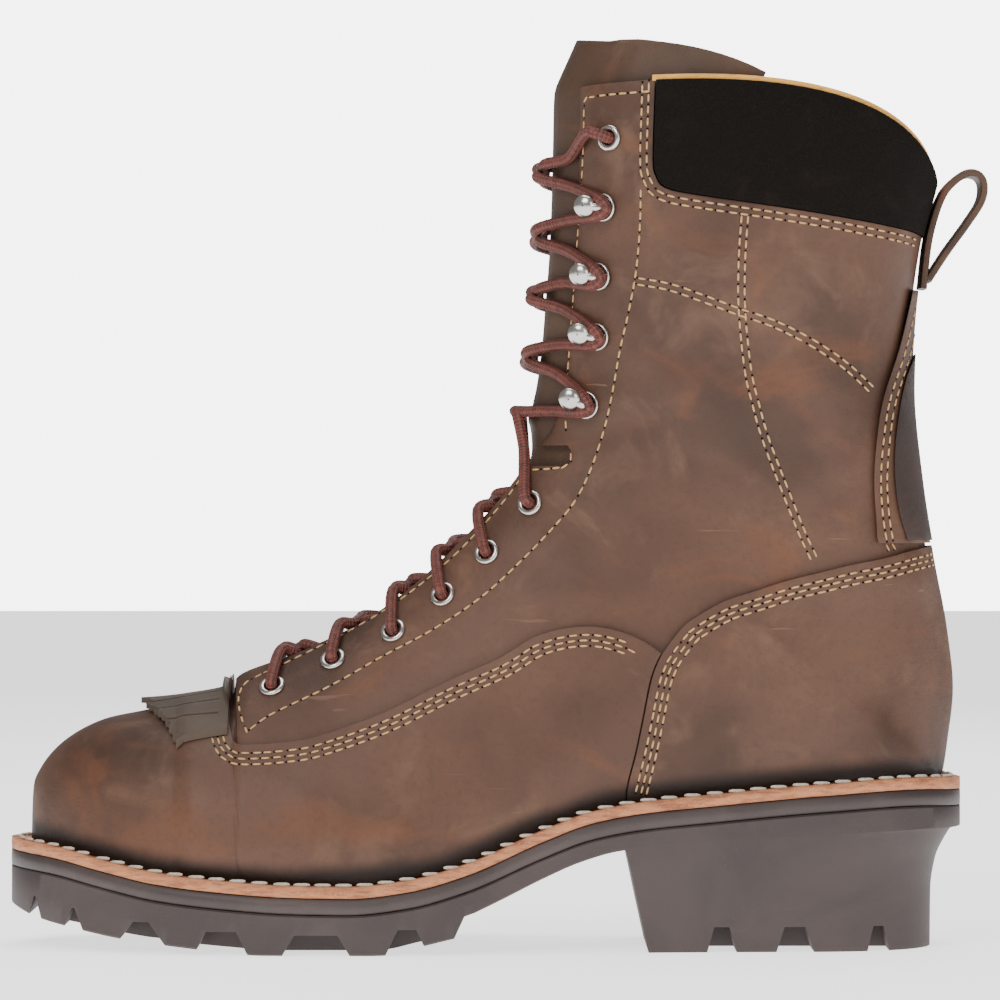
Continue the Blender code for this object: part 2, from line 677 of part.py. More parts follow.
def thicken(surface, inside, outside):
    """Closed wall between two distances out from an open surface.

    An edge that stands on the welt stays level with it, so it never sinks in.
    """
    count = len(surface.verts)
    layers = []
    for distance in (outside, inside):
        layer = []
        for vert in surface.verts:
            normal = vert.normal.copy()
            if on_welt(vert):
                normal.z = 0.0
                normal.normalize()
            point = vert.co + normal * distance
            if on_welt(vert):
                point.z = max(point.z, welt_top(point.x) + STAND)
            layer.append(point)
        layers.append(layer)
    bm = bmesh.new()
    verts = [bm.verts.new(point) for layer in layers for point in layer]
    for face in surface.faces:
        corners = [vert.index for vert in face.verts]
        bm.faces.new([verts[i] for i in corners])
        bm.faces.new([verts[i + count] for i in reversed(corners)])
    for edge in surface.edges:
        if edge.is_boundary:
            loop = edge.link_loops[0]
            a = loop.vert.index
            b = loop.link_loop_next.vert.index
            bm.faces.new((verts[b], verts[a], verts[a + count], verts[b + count]))
    surface.free()
    return bm


def upper_shell(inside, outside):
    """Closed wall between two distances out from the upper's surface."""
    return thicken(upper_surface(), inside, outside)


def surface_frame(place, side, step):
    """Point and outward normal of the upper at a section and a step down it."""
    near, far = max(step - 0.02, 0.0), step + 0.02
    here = section_points(place, side, (step, near, far))
    before = section_points(max(place - 0.05, 0.0), side, (step,))[0]
    after = section_points(min(place + 0.05, len(SECTIONS) - 1.0), side, (step,))[0]
    normal = (here[2] - here[1]).cross(after - before) * -side
    return here[0], normal.normalized()


def find_place(x, z, side):
    """Section and step of the upper that lie at a length and height in side view."""
    target = Vector((along(x), 0.0, high(z)))
    centre, reach_p, step_s, reach_s = 18.0, 9.0, 0.7, 0.7
    for _ in range(5):
        best = None
        steps = [max(0.0, step_s + reach_s * k / 8.0) for k in range(-8, 9)]
        for i in range(-12, 13):
            place = min(max(centre + reach_p * i / 12.0, THROAT_ROW), len(SECTIONS) - 1.0)
            for step, point in zip(steps, section_points(place, side, steps)):
                off = (Vector((point.x, 0.0, point.z)) - target).length
                if best is None or off < best[0]:
                    best = (off, place, step)
        centre, step_s = best[1], best[2]
        reach_p *= 0.25
        reach_s *= 0.25
    return centre, step_s


def make_upper(group, cutters):
    """Quarters and shaft as one hollow wall, open at throat, collar and underneath."""
    bm = upper_shell(-LEATHER, 0.0)
    upper = add_object("upper", mesh_of(bm, "upper"), group, (0.107, 0.055, 0.035), 0.5)
    collar_side = list(COLLAR_EDGE) + [(PAST_HEEL, COLLAR_LOW), (PAST_HEEL, COLLAR_HIGH)]
    boolean(upper, side_prism("collar_cut", collar_side, cutters), "DIFFERENCE")
    boolean(upper, side_prism("notch_cut", NOTCH, cutters), "DIFFERENCE")
    return upper


def make_overlay(name, outline, group, cutters, thick=OVERLAY, base=FIT,
                 colour=(0.107, 0.055, 0.035)):
    """Panel that lies on the upper inside a side view outline."""
    bm = upper_shell(base, base + thick)
    item = add_object(name, mesh_of(bm, name), group, colour, 0.5)
    boolean(item, side_prism(name + "_outline", outline, cutters), "INTERSECT")
    return item


def make_collar(group, cutters):
    """Padded top of the shaft, set in behind the edge of the leather."""
    gap = FIT / SOLE_LENGTH
    outline = [(x + 1.5 * gap, z + gap) for x, z in COLLAR_EDGE]
    outline += [(PAST_HEEL, COLLAR_LOW), (PAST_HEEL, COLLAR_HIGH)]
    return make_overlay("collar", outline, group, cutters, COLLAR_PAD,
                        COLLAR_PROUD - COLLAR_PAD, (0.004, 0.003, 0.003))


def tube(name, path, radius, rounding=1):
    """Mesh of a round cord along a path, with closed ends."""
    curve = bpy.data.curves.new(name, "CURVE")
    curve.dimensions = "3D"
    curve.bevel_depth = radius
    curve.bevel_resolution = rounding
    curve.use_fill_caps = True
    spline = curve.splines.new("POLY")
    spline.points.add(len(path) - 1)
    for spot, point in zip(spline.points, path):
        spot.co = (*point, 1.0)
    item = bpy.data.objects.new(name + "_curve", curve)
    bpy.context.scene.collection.objects.link(item)
    graph = bpy.context.evaluated_depsgraph_get()
    mesh = bpy.data.meshes.new_from_object(item.evaluated_get(graph))
    bpy.data.objects.remove(item, do_unlink=True)
    bm = bmesh.new()
    bm.from_mesh(mesh)
    bpy.data.meshes.remove(mesh)
    bmesh.ops.remove_doubles(bm, verts=bm.verts, dist=0.00001)
    bmesh.ops.recalc_face_normals(bm, faces=bm.faces)
    return bm


def tongue_bulge(place):
    """How far the middle of the tongue stands out of the throat."""
    rise = (place - TONGUE_RISE_ROW) / (TONGUE_FULL_ROW - TONGUE_RISE_ROW)
    rise = min(max(rise, 0.0), 1.0)
    return TONGUE_LOW + (TONGUE_BULGE - TONGUE_LOW) * rise * rise * (3.0 - 2.0 * rise)


def throat_middle(place, bulge):
    """Point on the middle line of the throat, moved out of it by the bulge."""
    point, normal = surface_frame(place, -1, 0.0)
    before = section_points(place - 0.05, -1, (0.0,))[0]
    run = (point - before).normalized()
    out = Vector((-run.z, 0.0, run.x)).normalized()
    return Vector((point.x, middle_line(point.x), point.z)) + out * bulge


def tongue_row(place):
    """Points across the tongue at one section, from the outer to the inner side."""
    sides = {}
    gap = section(place)["gap"] * BALL_WIDTH
    for side in (-1, 1):
        points = []
        for share in (0.0, 0.55):
            middle = throat_middle(place, tongue_bulge(place) * (1.0 - 0.35 * share**2))
            middle.y += side * share * gap
            points.append(middle)
        for column in TONGUE_COLUMNS:
            step = section_steps()[column]
            point, normal = surface_frame(place, side, step)
            wall = LEATHER
            if place >= COLLAR_ROW and step >= COLLAR_STEP:
                wall = COLLAR_PAD - COLLAR_PROUD
            points.append(point - normal * (wall + TONGUE_CLEAR))
        sides[side] = points
    return list(reversed(sides[-1])) + sides[1][1:]


def make_tongue(group):
    """Tall tongue: full in the throat, tucked under the facings, higher than the shaft."""
    places = [THROAT_ROW + 0.1] + [place for place in row_places() if place > THROAT_ROW]
    rows = [tongue_row(place) for place in places]
    middle = len(rows[0]) // 2
    for share in (0.5, 1.0):
        row = []
        for i, point in enumerate(rows[len(places) - 1]):
            beside = abs(i - middle) / middle
            rise = TONGUE_TOP * (1.0 - 0.8 * beside**2.5) * share
            row.append(point + Vector((TONGUE_LEAN * rise, 0.0, rise)))
        rows.append(row)
    surface = bmesh.new()
    grid = [[surface.verts.new(point) for point in row] for row in rows]
    for first, second in zip(grid[:-1], grid[1:]):
        for k in range(len(first) - 1):
            surface.faces.new((first[k], second[k], second[k + 1], first[k + 1]))
    bmesh.ops.triangulate(surface, faces=surface.faces, quad_method="SHORT_EDGE")
    surface.normal_update()
    surface.verts.index_update()
    surface.verts.ensure_lookup_table()
    if surface.verts[0].normal.y > 0.0:
        bmesh.ops.reverse_faces(surface, faces=surface.faces)
        surface.normal_update()
    bm = thicken(surface, -TONGUE_THICK, 0.0)
    add_object("tongue", mesh_of(bm, "tongue"), group, (0.10, 0.055, 0.035), 0.55)


def make_kiltie(group, cutters):
    """Fringed flap over the vamp, cut into strips that step back from the middle."""
    inside = OVERLAY + 2.0 * FIT
    bm = upper_shell(inside, inside + KILTIE_THICK)
    kiltie = add_object("kiltie", mesh_of(bm, "kiltie"), group, (0.12, 0.08, 0.05), 0.6)
    width = 2.0 * KILTIE_HALF / KILTIE_STRIPS
    swing = middle_line(along(KILTIE_TIP))
    outline = [(along(KILTIE_BACK), swing + KILTIE_HALF - KILTIE_EASE),
               (along(KILTIE_BACK), swing - KILTIE_HALF + KILTIE_EASE)]
    for strip in range(KILTIE_STRIPS):
        left = -KILTIE_HALF + strip * width
        beside = abs(left + 0.5 * width) / KILTIE_HALF
        tip = along(KILTIE_TIP + (KILTIE_CORNER - KILTIE_TIP) * beside**KILTIE_CURVE)
        first = left + (0.5 * KILTIE_SLIT if strip > 0 else 0.0)
        last = left + width - (0.5 * KILTIE_SLIT if strip < KILTIE_STRIPS - 1 else 0.0)
        notch = KILTIE_CORNER_CUT * width
        outline += [(tip + notch, swing + first), (tip, swing + first + notch),
                    (tip, swing + last - notch), (tip + notch, swing + last)]
        if strip < KILTIE_STRIPS - 1:
            root = along(KILTIE_SLIT_END)
            outline += [(root, swing + last), (root, swing + last + KILTIE_SLIT)]
    cutter = bmesh.new()
    face = cutter.faces.new([cutter.verts.new((x, y, high(0.20))) for x, y in outline])
    grown = bmesh.ops.extrude_face_region(cutter, geom=[face])
    moved = [v for v in grown["geom"] if isinstance(v, bmesh.types.BMVert)]
    bmesh.ops.translate(cutter, verts=moved, vec=(0.0, 0.0, high(0.2)))
    boolean(kiltie, add_cutter("kiltie_outline", cutter, cutters), "INTERSECT")


def make_pull_loop(group, cutters):
    """Strap loop that stands behind the collar, sewn to the backstay at its foot."""
    bm = bmesh.new()
    half = 0.5 * LOOP_WIDTH
    face = bm.faces.new([bm.verts.new((along(x), -half, high(z))) for x, z in LOOP_OUTER])
    grown = bmesh.ops.extrude_face_region(bm, geom=[face])
    moved = [v for v in grown["geom"] if isinstance(v, bmesh.types.BMVert)]
    bmesh.ops.translate(bm, verts=moved, vec=(0.0, LOOP_WIDTH, 0.0))
    bmesh.ops.recalc_face_normals(bm, faces=bm.faces)
    loop = add_object("pull_loop", mesh_of(bm, "pull_loop"), group)
    boolean(loop, side_prism("loop_hole", LOOP_HOLE, cutters), "DIFFERENCE")


def turned(point, normal, forward):
    """Placing matrix whose Z is the normal and whose X is nearest to forward."""
    across = normal.cross(forward).normalized()
    along_x = across.cross(normal).normalized()
    turn = Matrix((along_x, across, normal)).transposed()
    return Matrix.Translation(point) @ turn.to_4x4()


def lace_spots():
    """Side view places of all eyelets and hooks, from the lowest pair up."""
    return list(EYELETS) + list(HOOKS) + [TOP_EYELET]


def make_eyelets(group):
    """Rolled rings on both facings."""
    ring = bpy.ops.mesh.primitive_torus_add
    ring(major_segments=8, minor_segments=3, major_radius=EYELET_RADIUS,
         minor_radius=EYELET_WIRE)
    pattern = bpy.context.active_object
    mesh = pattern.data
    bpy.data.objects.remove(pattern, do_unlink=True)
    mesh.shade_smooth()
    for number, (x, z) in enumerate(list(EYELETS) + [TOP_EYELET]):
        for side, word in ((-1, "outer"), (1, "inner")):
            place, step = find_place(x, z, side)
            point, normal = surface_frame(place, side, step)
            item = add_object("eyelet_%s_%d" % (word, number + 1), mesh.copy(), group,
                              (0.45, 0.44, 0.43), 0.25, 1.0)
            item.matrix_world = turned(point + normal * EYELET_LIFT, normal,
                                       Vector((-1.0, 0.0, 0.0)))


def hook_mesh(cutters):
    """One speed hook on its plate: Z out of the leather, X towards the throat."""
    bm = bmesh.new()
    bmesh.ops.create_cone(bm, cap_ends=True, segments=8, radius1=HOOK_PLATE,
                          radius2=HOOK_PLATE, depth=HOOK_SHEET)
    plate = bpy.data.objects.new("hook_plate", mesh_of(bm, "hook_plate"))
    bpy.context.scene.collection.objects.link(plate)
    head_at = Vector((HOOK_FORWARD, 0.0, HOOK_REACH))
    bend_at = Vector((-0.1 * HOOK_FORWARD, 0.0, 0.55 * HOOK_REACH))
    neck = tube("hook_neck", [Vector((0.0, 0.0, 0.0)), bend_at, head_at], HOOK_NECK, 0)
    head = bmesh.new()
    bmesh.ops.create_uvsphere(head, u_segments=7, v_segments=4, radius=HOOK_HEAD)
    bmesh.ops.scale(head, vec=(1.0, 1.0, 0.45), verts=head.verts)
    bmesh.ops.translate(head, vec=head_at, verts=head.verts)
    pieces = [add_cutter("hook_neck", neck, cutters), add_cutter("hook_head", head, cutters)]
    for piece in pieces:
        boolean(plate, piece, "UNION")
    graph = bpy.context.evaluated_depsgraph_get()
    mesh = bpy.data.meshes.new_from_object(plate.evaluated_get(graph))
    bpy.data.objects.remove(plate, do_unlink=True)
    return mesh


def make_hooks(group, cutters):
    """Four speed hooks up each side of the shaft."""
    mesh = hook_mesh(cutters)
    for number, (x, z) in enumerate(HOOKS):
        for side, word in ((-1, "outer"), (1, "inner")):
            place, step = find_place(x, z, side)
            point, normal = surface_frame(place, side, step)
            item = add_object("hook_%s_%d" % (word, number + 1), mesh.copy(), group,
                              (0.45, 0.44, 0.43), 0.25, 1.0)
            item.matrix_world = turned(point + normal * (0.5 * HOOK_SHEET + HOOK_LIFT), normal,
                                       Vector((-1.0, 0.0, 0.0)))


def crossing_path(number, side):
    """Lace from one side of a pair over the throat to the other side of the next pair."""
    spots = lace_spots()
    low_place, low_step = find_place(*spots[number], side)
    high_place, high_step = find_place(*spots[number + 1], -side)
    lift = LACE_RADIUS + LACE_CLEAR
    points = []
    middle_place = 0.5 * (low_place + high_place)
    ends = ((low_place, low_step, side, 0.22), (high_place, high_step, -side, -0.22))
    for place, step, at_side, shift in ends:
        towards = place + shift * (high_place - low_place)
        beside = min(step * 0.45, LACE_END_STEP)
        start, start_normal = surface_frame(towards, at_side, beside)
        edge_place = towards + 0.5 * shift * (high_place - low_place)
        edge, edge_normal = surface_frame(edge_place, at_side, 0.0)
        inward = throat_middle(edge_place, lift) - edge
        out = (edge_normal + inward.normalized() * 0.4).normalized()
        pair = [start + start_normal * lift, edge + out * (lift + LACE_CLEAR)]
        points.append(pair)
    over = []
    shoulders = (0.6, 0.0, -0.6) if tongue_bulge(middle_place) > 0.0 else (0.0,)
    for share in shoulders:
        place = middle_place - share * 0.35 * (high_place - low_place)
        gap = section(place)["gap"] * BALL_WIDTH
        bulge = max(tongue_bulge(place) * (1.0 - 0.35 * share**2), 0.0)
        spot = throat_middle(place, bulge + lift + LACE_CLEAR)
        spot.y += side * share * gap
        over.append(spot)
    return [points[0][0], points[0][1]] + over + [points[1][1], points[1][0]]


def make_laces(group, cutters):
    """One joined crossing between each pair of eyelets or hooks and the next."""
    for number in range(len(lace_spots()) - 1):
        name = "lace_%02d" % (number + 1)
        first = tube(name, crossing_path(number, -1), LACE_RADIUS)
        second = tube(name + "_back", crossing_path(number, 1), LACE_RADIUS)
        lace = add_object(name, mesh_of(first, name), group, (0.19, 0.06, 0.045), 0.7)
        boolean(lace, add_cutter(name + "_back", second, cutters), "UNION")


def stand_on_origin(group, cutters):
    """Move everything so that the boot stands on the origin, in the middle of its reach."""
    graph = bpy.context.evaluated_depsgraph_get()
    corners = []
    for item in group.objects:
        shown = item.evaluated_get(graph)
        corners += [shown.matrix_world @ vert.co for vert in shown.data.vertices]
    low = [min(corner[axis] for corner in corners) for axis in range(3)]
    top = [max(corner[axis] for corner in corners) for axis in range(3)]
    shift = Vector((0.5 * (low[0] + top[0]), 0.5 * (low[1] + top[1]), low[2]))
    for item in list(group.objects) + list(cutters.objects):
        item.matrix_world = Matrix.Translation(-shift) @ item.matrix_world


def build():
    """Model every piece of the boot."""
    clear_scene()
    group = collection("logger_boot")
    cutters = collection("cutters")
    make_midsole(group)
    make_insole(group)
    make_welt(group, cutters)
    make_outsole(group, cutters)
    make_upper(group, cutters)
    seam = 2.0 * FIT / SOLE_LENGTH
    vamp = [(BEFORE_TOE, OVER_VAMP)] + list(VAMP_EDGE)
    vamp += [(x - seam, z) for x, z in reversed(COUNTER_FRONT[:-1])]
    vamp += [(COUNTER_FRONT[0][0] - seam, 0.0), (BEFORE_TOE, 0.0)]
    make_overlay("vamp", vamp, group, cutters)
    counter = [(COUNTER_FRONT[0][0], 0.0)] + list(COUNTER_FRONT) + list(COUNTER_TOP)
    counter += [(PAST_HEEL, COUNTER_LINE), (PAST_HEEL, 0.0)]
    make_overlay("counter", counter, group, cutters)
    backstay = [(PAST_HEEL, COUNTER_LINE + seam)]
    backstay += [(x, max(z, COUNTER_LINE + seam)) for x, z in BACKSTAY_EDGE]
    backstay += [(PAST_HEEL, BACKSTAY_TOP)]
    make_overlay("backstay", backstay, group, cutters, OVERLAY - FIT)
    make_collar(group, cutters)
    make_tongue(group)
    make_kiltie(group, cutters)
    make_pull_loop(group, cutters)
    make_eyelets(group)
    make_hooks(group, cutters)
    make_laces(group, cutters)
    stand_on_origin(group, cutters)


build()
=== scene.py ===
"""Looks of the logger boot: leather, stitching, metal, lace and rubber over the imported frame.

Metres, +Z up. Shapes are worked out in the last's own frame, whose X runs from the toe end of
the sole, and are moved into the part's frame when a piece is made.
"""
from __future__ import annotations

import logging
import math
from collections.abc import Callable, Iterable, Sequence
from dataclasses import dataclass, field
from enum import Enum

import bmesh
import bpy
import numpy as np
from mathutils import Matrix, Vector
from mathutils.bvhtree import BVHTree


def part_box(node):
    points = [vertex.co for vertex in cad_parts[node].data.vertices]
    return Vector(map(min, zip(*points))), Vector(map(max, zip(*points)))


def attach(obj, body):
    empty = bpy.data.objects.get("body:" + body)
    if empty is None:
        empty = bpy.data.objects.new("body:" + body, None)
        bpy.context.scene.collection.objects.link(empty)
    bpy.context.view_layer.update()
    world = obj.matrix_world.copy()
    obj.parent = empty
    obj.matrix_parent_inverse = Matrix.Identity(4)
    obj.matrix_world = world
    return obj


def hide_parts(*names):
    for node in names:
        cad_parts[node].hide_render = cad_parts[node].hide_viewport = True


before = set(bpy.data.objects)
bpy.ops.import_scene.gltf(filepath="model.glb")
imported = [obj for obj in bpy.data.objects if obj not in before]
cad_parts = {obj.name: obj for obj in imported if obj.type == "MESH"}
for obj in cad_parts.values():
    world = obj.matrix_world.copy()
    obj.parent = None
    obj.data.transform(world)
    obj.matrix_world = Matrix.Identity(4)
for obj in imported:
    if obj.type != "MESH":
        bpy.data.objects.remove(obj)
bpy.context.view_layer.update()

log = logging.getLogger("logger_boot")

Pair = tuple[float, float]
Path = list[Vector]

# The camera of the photograph
PICTURE_SIDE = 1000.0
PICTURE_CENTRE = (499.5, 500.0)
PIXEL = 0.000332           # metres a pixel in the boot's middle plane
CAMERA_BACK = 2.0
CAMERA_HIGH = 0.1473
SENSOR = 36.0

# Driving dimensions, as in the part
SOLE_LENGTH = 0.315        # toe end to heel end of the welt
SHAFT_HEIGHT = 0.284       # floor to the rim of the collar
BALL_WIDTH = 0.112         # widest part of the outsole
TOE_SWING = 0.005          # how far the toe end stands to the inner side
LEATHER = 0.0022           # wall of the upper
OVERLAY = 0.0018           # vamp, counter and backstay
FIT = 0.0003               # gap between pieces that lie on each other
STAND = 0.0006             # lower edge of the upper above the welt, which curves
WELT_THICK = 0.0037
MIDSOLE_THICK = 0.0050
INSOLE_RISE = 0.0028       # insole above the top of the welt
INSOLE_CLEAR = 0.0016      # round its edge, inside the wall of the upper
WELT_SHOWS = 0.0066        # welt that shows beside the upper
LUG_DEPTH = 0.0066
HEEL_BLOCK_DEPTH = 0.002   # how deep the heel block reaches into the sole above it
COLLAR_PAD = 0.0046
COLLAR_PROUD = 0.0008
TONGUE_THICK = 0.0024
TONGUE_CLEAR = 0.0006
TONGUE_LOW = -0.0030       # middle of the tongue in the foot part of the throat
TONGUE_BULGE = 0.0085      # middle of the tongue in the shaft part
TONGUE_RISE_ROW = 14
TONGUE_FULL_ROW = 20
COLLAR_ROW = 24            # from this section up the tongue lies inside the collar pad
COLLAR_STEP = 0.25
TONGUE_TOP = 0.0165        # tongue above the facings
TONGUE_LEAN = 0.45
KILTIE_THICK = 0.0018
KILTIE_HALF = 0.035
KILTIE_TIP = 0.142         # tips of the middle strips, share of SOLE_LENGTH
KILTIE_CORNER = 0.181      # tips of the outermost strips
KILTIE_SLIT_END = 0.222
KILTIE_BACK = 0.2325
KILTIE_STRIPS = 8
KILTIE_SLIT = 0.0009
KILTIE_EASE = 0.002        # how much narrower the flap is at its back edge
KILTIE_CURVE = 1.6         # how the tips step back from the middle
LOOP_WIDTH = 0.020
EYELET_RADIUS = 0.0033     # to the middle of the ring
EYELET_WIRE = 0.0010
LACE_RADIUS = 0.0019
HOOK_PLATE = 0.0046
HOOK_NECK = 0.0013
HOOK_HEAD = 0.0037
HOOK_REACH = 0.0066        # head above the plate
HOOK_FORWARD = 0.0040      # head towards the throat

UPPER_INSET = WELT_SHOWS + OVERLAY + FIT
WALL_INSET = UPPER_INSET + LEATHER

# Half widths of the sole beside its middle line, as shares of BALL_WIDTH
OUTLINE = (
    # along, outer, inner
    (0.00, 0.400, 0.410),
    (0.10, 0.430, 0.440),
    (0.20, 0.470, 0.470),
    (0.30, 0.498, 0.486),
    (0.38, 0.502, 0.470),
    (0.46, 0.478, 0.425),
    (0.56, 0.425, 0.360),
    (0.68, 0.380, 0.330),
    (0.80, 0.358, 0.340),
    (0.92, 0.350, 0.347),
    (1.00, 0.350, 0.350),
)
TOE_ROUND = 0.24
HEEL_ROUND = 0.15
ROUND_POWER = 2.25
SWING_END = 0.34

# Top of the welt: along as a share of SOLE_LENGTH, height of SHAFT_HEIGHT
WELT_TOP = (
    (0.00, 0.1255),
    (0.05, 0.1190),
    (0.10, 0.1065),
    (0.16, 0.0925),
    (0.23, 0.0840),
    (0.30, 0.0790),
    (0.36, 0.0780),
    (0.42, 0.0850),
    (0.48, 0.1030),
    (0.56, 0.1410),
    (0.61, 0.1615),
    (0.66, 0.1720),
    (0.74, 0.1810),
    (0.85, 0.1920),
    (0.95, 0.1985),
    (1.00, 0.1960),
)

# Underside of the outsole: tread of the forepart, then the arch up to the heel
TREAD = (
    (0.000, 0.0500),
    (0.030, 0.0370),
    (0.070, 0.0270),
    (0.125, 0.0160),
    (0.180, 0.0090),
    (0.240, 0.0025),
    (0.270, 0.0000),
    (0.390, 0.0000),
    (0.430, 0.0090),
    (0.478, 0.0215),
)
ARCH = (
    (0.482, 0.0440),
    (0.520, 0.0640),
    (0.560, 0.0860),
    (0.600, 0.1050),
    (0.640, 0.1170),
    (0.700, 0.1240),
    (1.000, 0.1400),
)

# Sections of the upper, from the toe to the rim of the shaft. Each row runs from a top point
# on the front of the boot to a low point on the welt, or behind the heel on the back line.
# Lengths are shares of SOLE_LENGTH, heights of SHAFT_HEIGHT, widths of BALL_WIDTH.
SECTION_COLUMNS = ("top_x", "top_z", "low_x", "low_z", "outer", "inner",
                   "belly", "crown", "gap", "lift", "turn")
SECTIONS = (
    (0.0285, 0.1650, 0.0276, 0.125, 0.000, 0.000, 0.70, 2.2, 0.000, 0.000, 1.0),
    (0.0300, 0.1860, 0.0290, 0.124, 0.000, 0.000, 0.70, 2.2, 0.000, 0.000, 1.0),
    (0.0370, 0.2030, 0.0345, 0.123, 0.000, 0.000, 0.71, 2.2, 0.000, 0.000, 1.0),
    (0.0520, 0.2240, 0.0480, 0.119, 0.000, 0.000, 0.72, 2.2, 0.000, 0.000, 1.0),
    (0.0760, 0.2435, 0.0720, 0.113, 0.000, 0.000, 0.74, 2.2, 0.000, 0.000, 1.0),
    (0.1040, 0.2570, 0.1020, 0.106, 0.000, 0.000, 0.76, 2.2, 0.000, 0.000, 1.0),
    (0.1430, 0.2660, 0.1450, 0.096, 0.000, 0.000, 0.78, 2.2, 0.000, 0.000, 1.0),
    (0.1890, 0.2770, 0.1950, 0.088, 0.410, 0.405, 0.80, 2.0, 0.000, 0.000, 1.0),
    (0.2340, 0.2910, 0.2480, 0.082, 0.430, 0.415, 0.82, 1.75, 0.000, 0.000, 1.0),
    (0.2385, 0.3110, 0.2540, 0.081, 0.440, 0.425, 0.82, 1.45, 0.080, 0.000, 1.0),
    (0.2970, 0.3380, 0.3150, 0.078, 0.440, 0.425, 0.83, 1.4, 0.085, 0.000, 1.0),
    (0.3640, 0.3720, 0.4000, 0.082, 0.425, 0.405, 0.83, 1.4, 0.088, 0.000, 1.0),
    (0.4260, 0.4210, 0.5000, 0.112, 0.390, 0.375, 0.82, 1.45, 0.090, 0.000, 1.0),
    (0.4740, 0.4710, 0.6000, 0.158, 0.355, 0.345, 0.78, 1.55, 0.095, 0.000, 1.0),
    (0.5170, 0.5220, 0.7000, 0.177, 0.335, 0.335, 0.72, 1.7, 0.102, 0.000, 1.1),
    (0.5420, 0.5590, 0.7950, 0.187, 0.325, 0.330, 0.66, 1.8, 0.112, 0.000, 1.25),
    (0.5570, 0.5810, 0.8800, 0.194, 0.320, 0.325, 0.62, 1.9, 0.124, 0.000, 1.55),
    (0.5660, 0.5940, 0.9350, 0.198, 0.317, 0.320, 0.60, 2.0, 0.130, 0.000, 1.95),
    (0.5710, 0.6040, 0.9640, 0.198, 0.315, 0.318, 0.58, 2.0, 0.135, 0.000, 2.25),
    (0.5745, 0.6160, 0.9730, 0.198, 0.313, 0.317, 0.57, 2.0, 0.139, 0.000, 2.4),
    (0.5780, 0.6320, 0.9810, 0.245, 0.312, 0.317, 0.56, 2.0, 0.143, 0.000, 2.4),
    (0.5810, 0.6500, 0.9860, 0.300, 0.313, 0.318, 0.55, 2.0, 0.146, 0.000, 2.4),
    (0.5840, 0.6720, 0.9790, 0.372, 0.317, 0.320, 0.54, 2.0, 0.150, 0.000, 2.4),
    (0.5870, 0.7020, 0.9660, 0.450, 0.327, 0.328, 0.53, 2.0, 0.155, 0.000, 2.4),
    (0.5900, 0.7450, 0.9530, 0.540, 0.348, 0.348, 0.52, 2.0, 0.160, 0.000, 2.4),
    (0.5940, 0.8000, 0.9440, 0.645, 0.373, 0.373, 0.51, 2.0, 0.165, 0.000, 2.4),
    (0.5965, 0.8620, 0.9480, 0.735, 0.392, 0.390, 0.50, 2.0, 0.168, 0.018, 2.4),
    (0.5980, 0.9300, 0.9590, 0.822, 0.402, 0.400, 0.50, 2.0, 0.170, 0.050, 2.4),
    (0.5990, 0.9960, 0.9730, 0.884, 0.407, 0.405, 0.50, 2.0, 0.171, 0.094, 2.4),
)
TOP_ROW = len(SECTIONS) - 1.0
THROAT_ROW = 9             # first section with an open throat
HEEL_ROW = 19              # section whose low point is the heel end of the welt
SIDE_POWER = 2.4           # roundness of the sections below their widest place
HEEL_EASE_FROM = 0.78      # behind and below these shares the sides of the heel are evened out
HEEL_EASE_BELOW = 0.42
HEEL_EASE_TIMES = 3

# Side view outlines: along as shares of SOLE_LENGTH, height of SHAFT_HEIGHT
VAMP_EDGE = (
    (0.2335, 0.400), (0.2335, 0.262), (0.240, 0.241), (0.256, 0.238), (0.295, 0.241),
    (0.328, 0.248), (0.394, 0.274), (0.460, 0.310), (0.515, 0.337), (0.549, 0.360),
    (0.582, 0.371), (0.615, 0.373), (0.647, 0.365), (0.668, 0.354),
)
COUNTER_FRONT = (
    (0.6475, 0.150), (0.6475, 0.185), (0.657, 0.229), (0.664, 0.266), (0.672, 0.310),
    (0.679, 0.332), (0.686, 0.346),
)
COUNTER_TOP = (
    (0.701, 0.368), (0.714, 0.381), (0.747, 0.402), (0.780, 0.414), (0.813, 0.426),
    (0.850, 0.436), (0.880, 0.444), (0.913, 0.451), (0.945, 0.460), (0.975, 0.467),
)
BACKSTAY_EDGE = (
    (0.945, 0.464), (0.912, 0.459), (0.906, 0.500), (0.904, 0.546), (0.908, 0.598),
    (0.915, 0.639), (0.932, 0.694), (0.944, 0.746), (0.947, 0.762),
)
BACKSTAY_TOP = 0.762
COUNTER_LINE = 0.467       # seam between counter and backstay at the back
PAST_HEEL = 1.2            # behind the boot, past its toe, and above the vamp: cutters' corners
BEFORE_TOE = -0.1
OVER_VAMP = 0.40
COLLAR_LOW = 0.80
COLLAR_HIGH = 1.06
COLLAR_EDGE = (
    (0.677, 1.060), (0.675, 0.985), (0.673, 0.910), (0.676, 0.890), (0.686, 0.876),
    (0.722, 0.867), (0.825, 0.850), (0.929, 0.831), (0.955, 0.825),
)
NOTCH = ((0.500, 0.558), (0.586, 0.558), (0.586, 0.582), (0.500, 0.582))
EYELETS = (
    (0.278, 0.303), (0.341, 0.334), (0.404, 0.367), (0.456, 0.409), (0.502, 0.458),
    (0.547, 0.515),
)
HOOKS = ((0.606, 0.628), (0.617, 0.707), (0.619, 0.776), (0.624, 0.855))
TOP_EYELET = (0.629, 0.935)

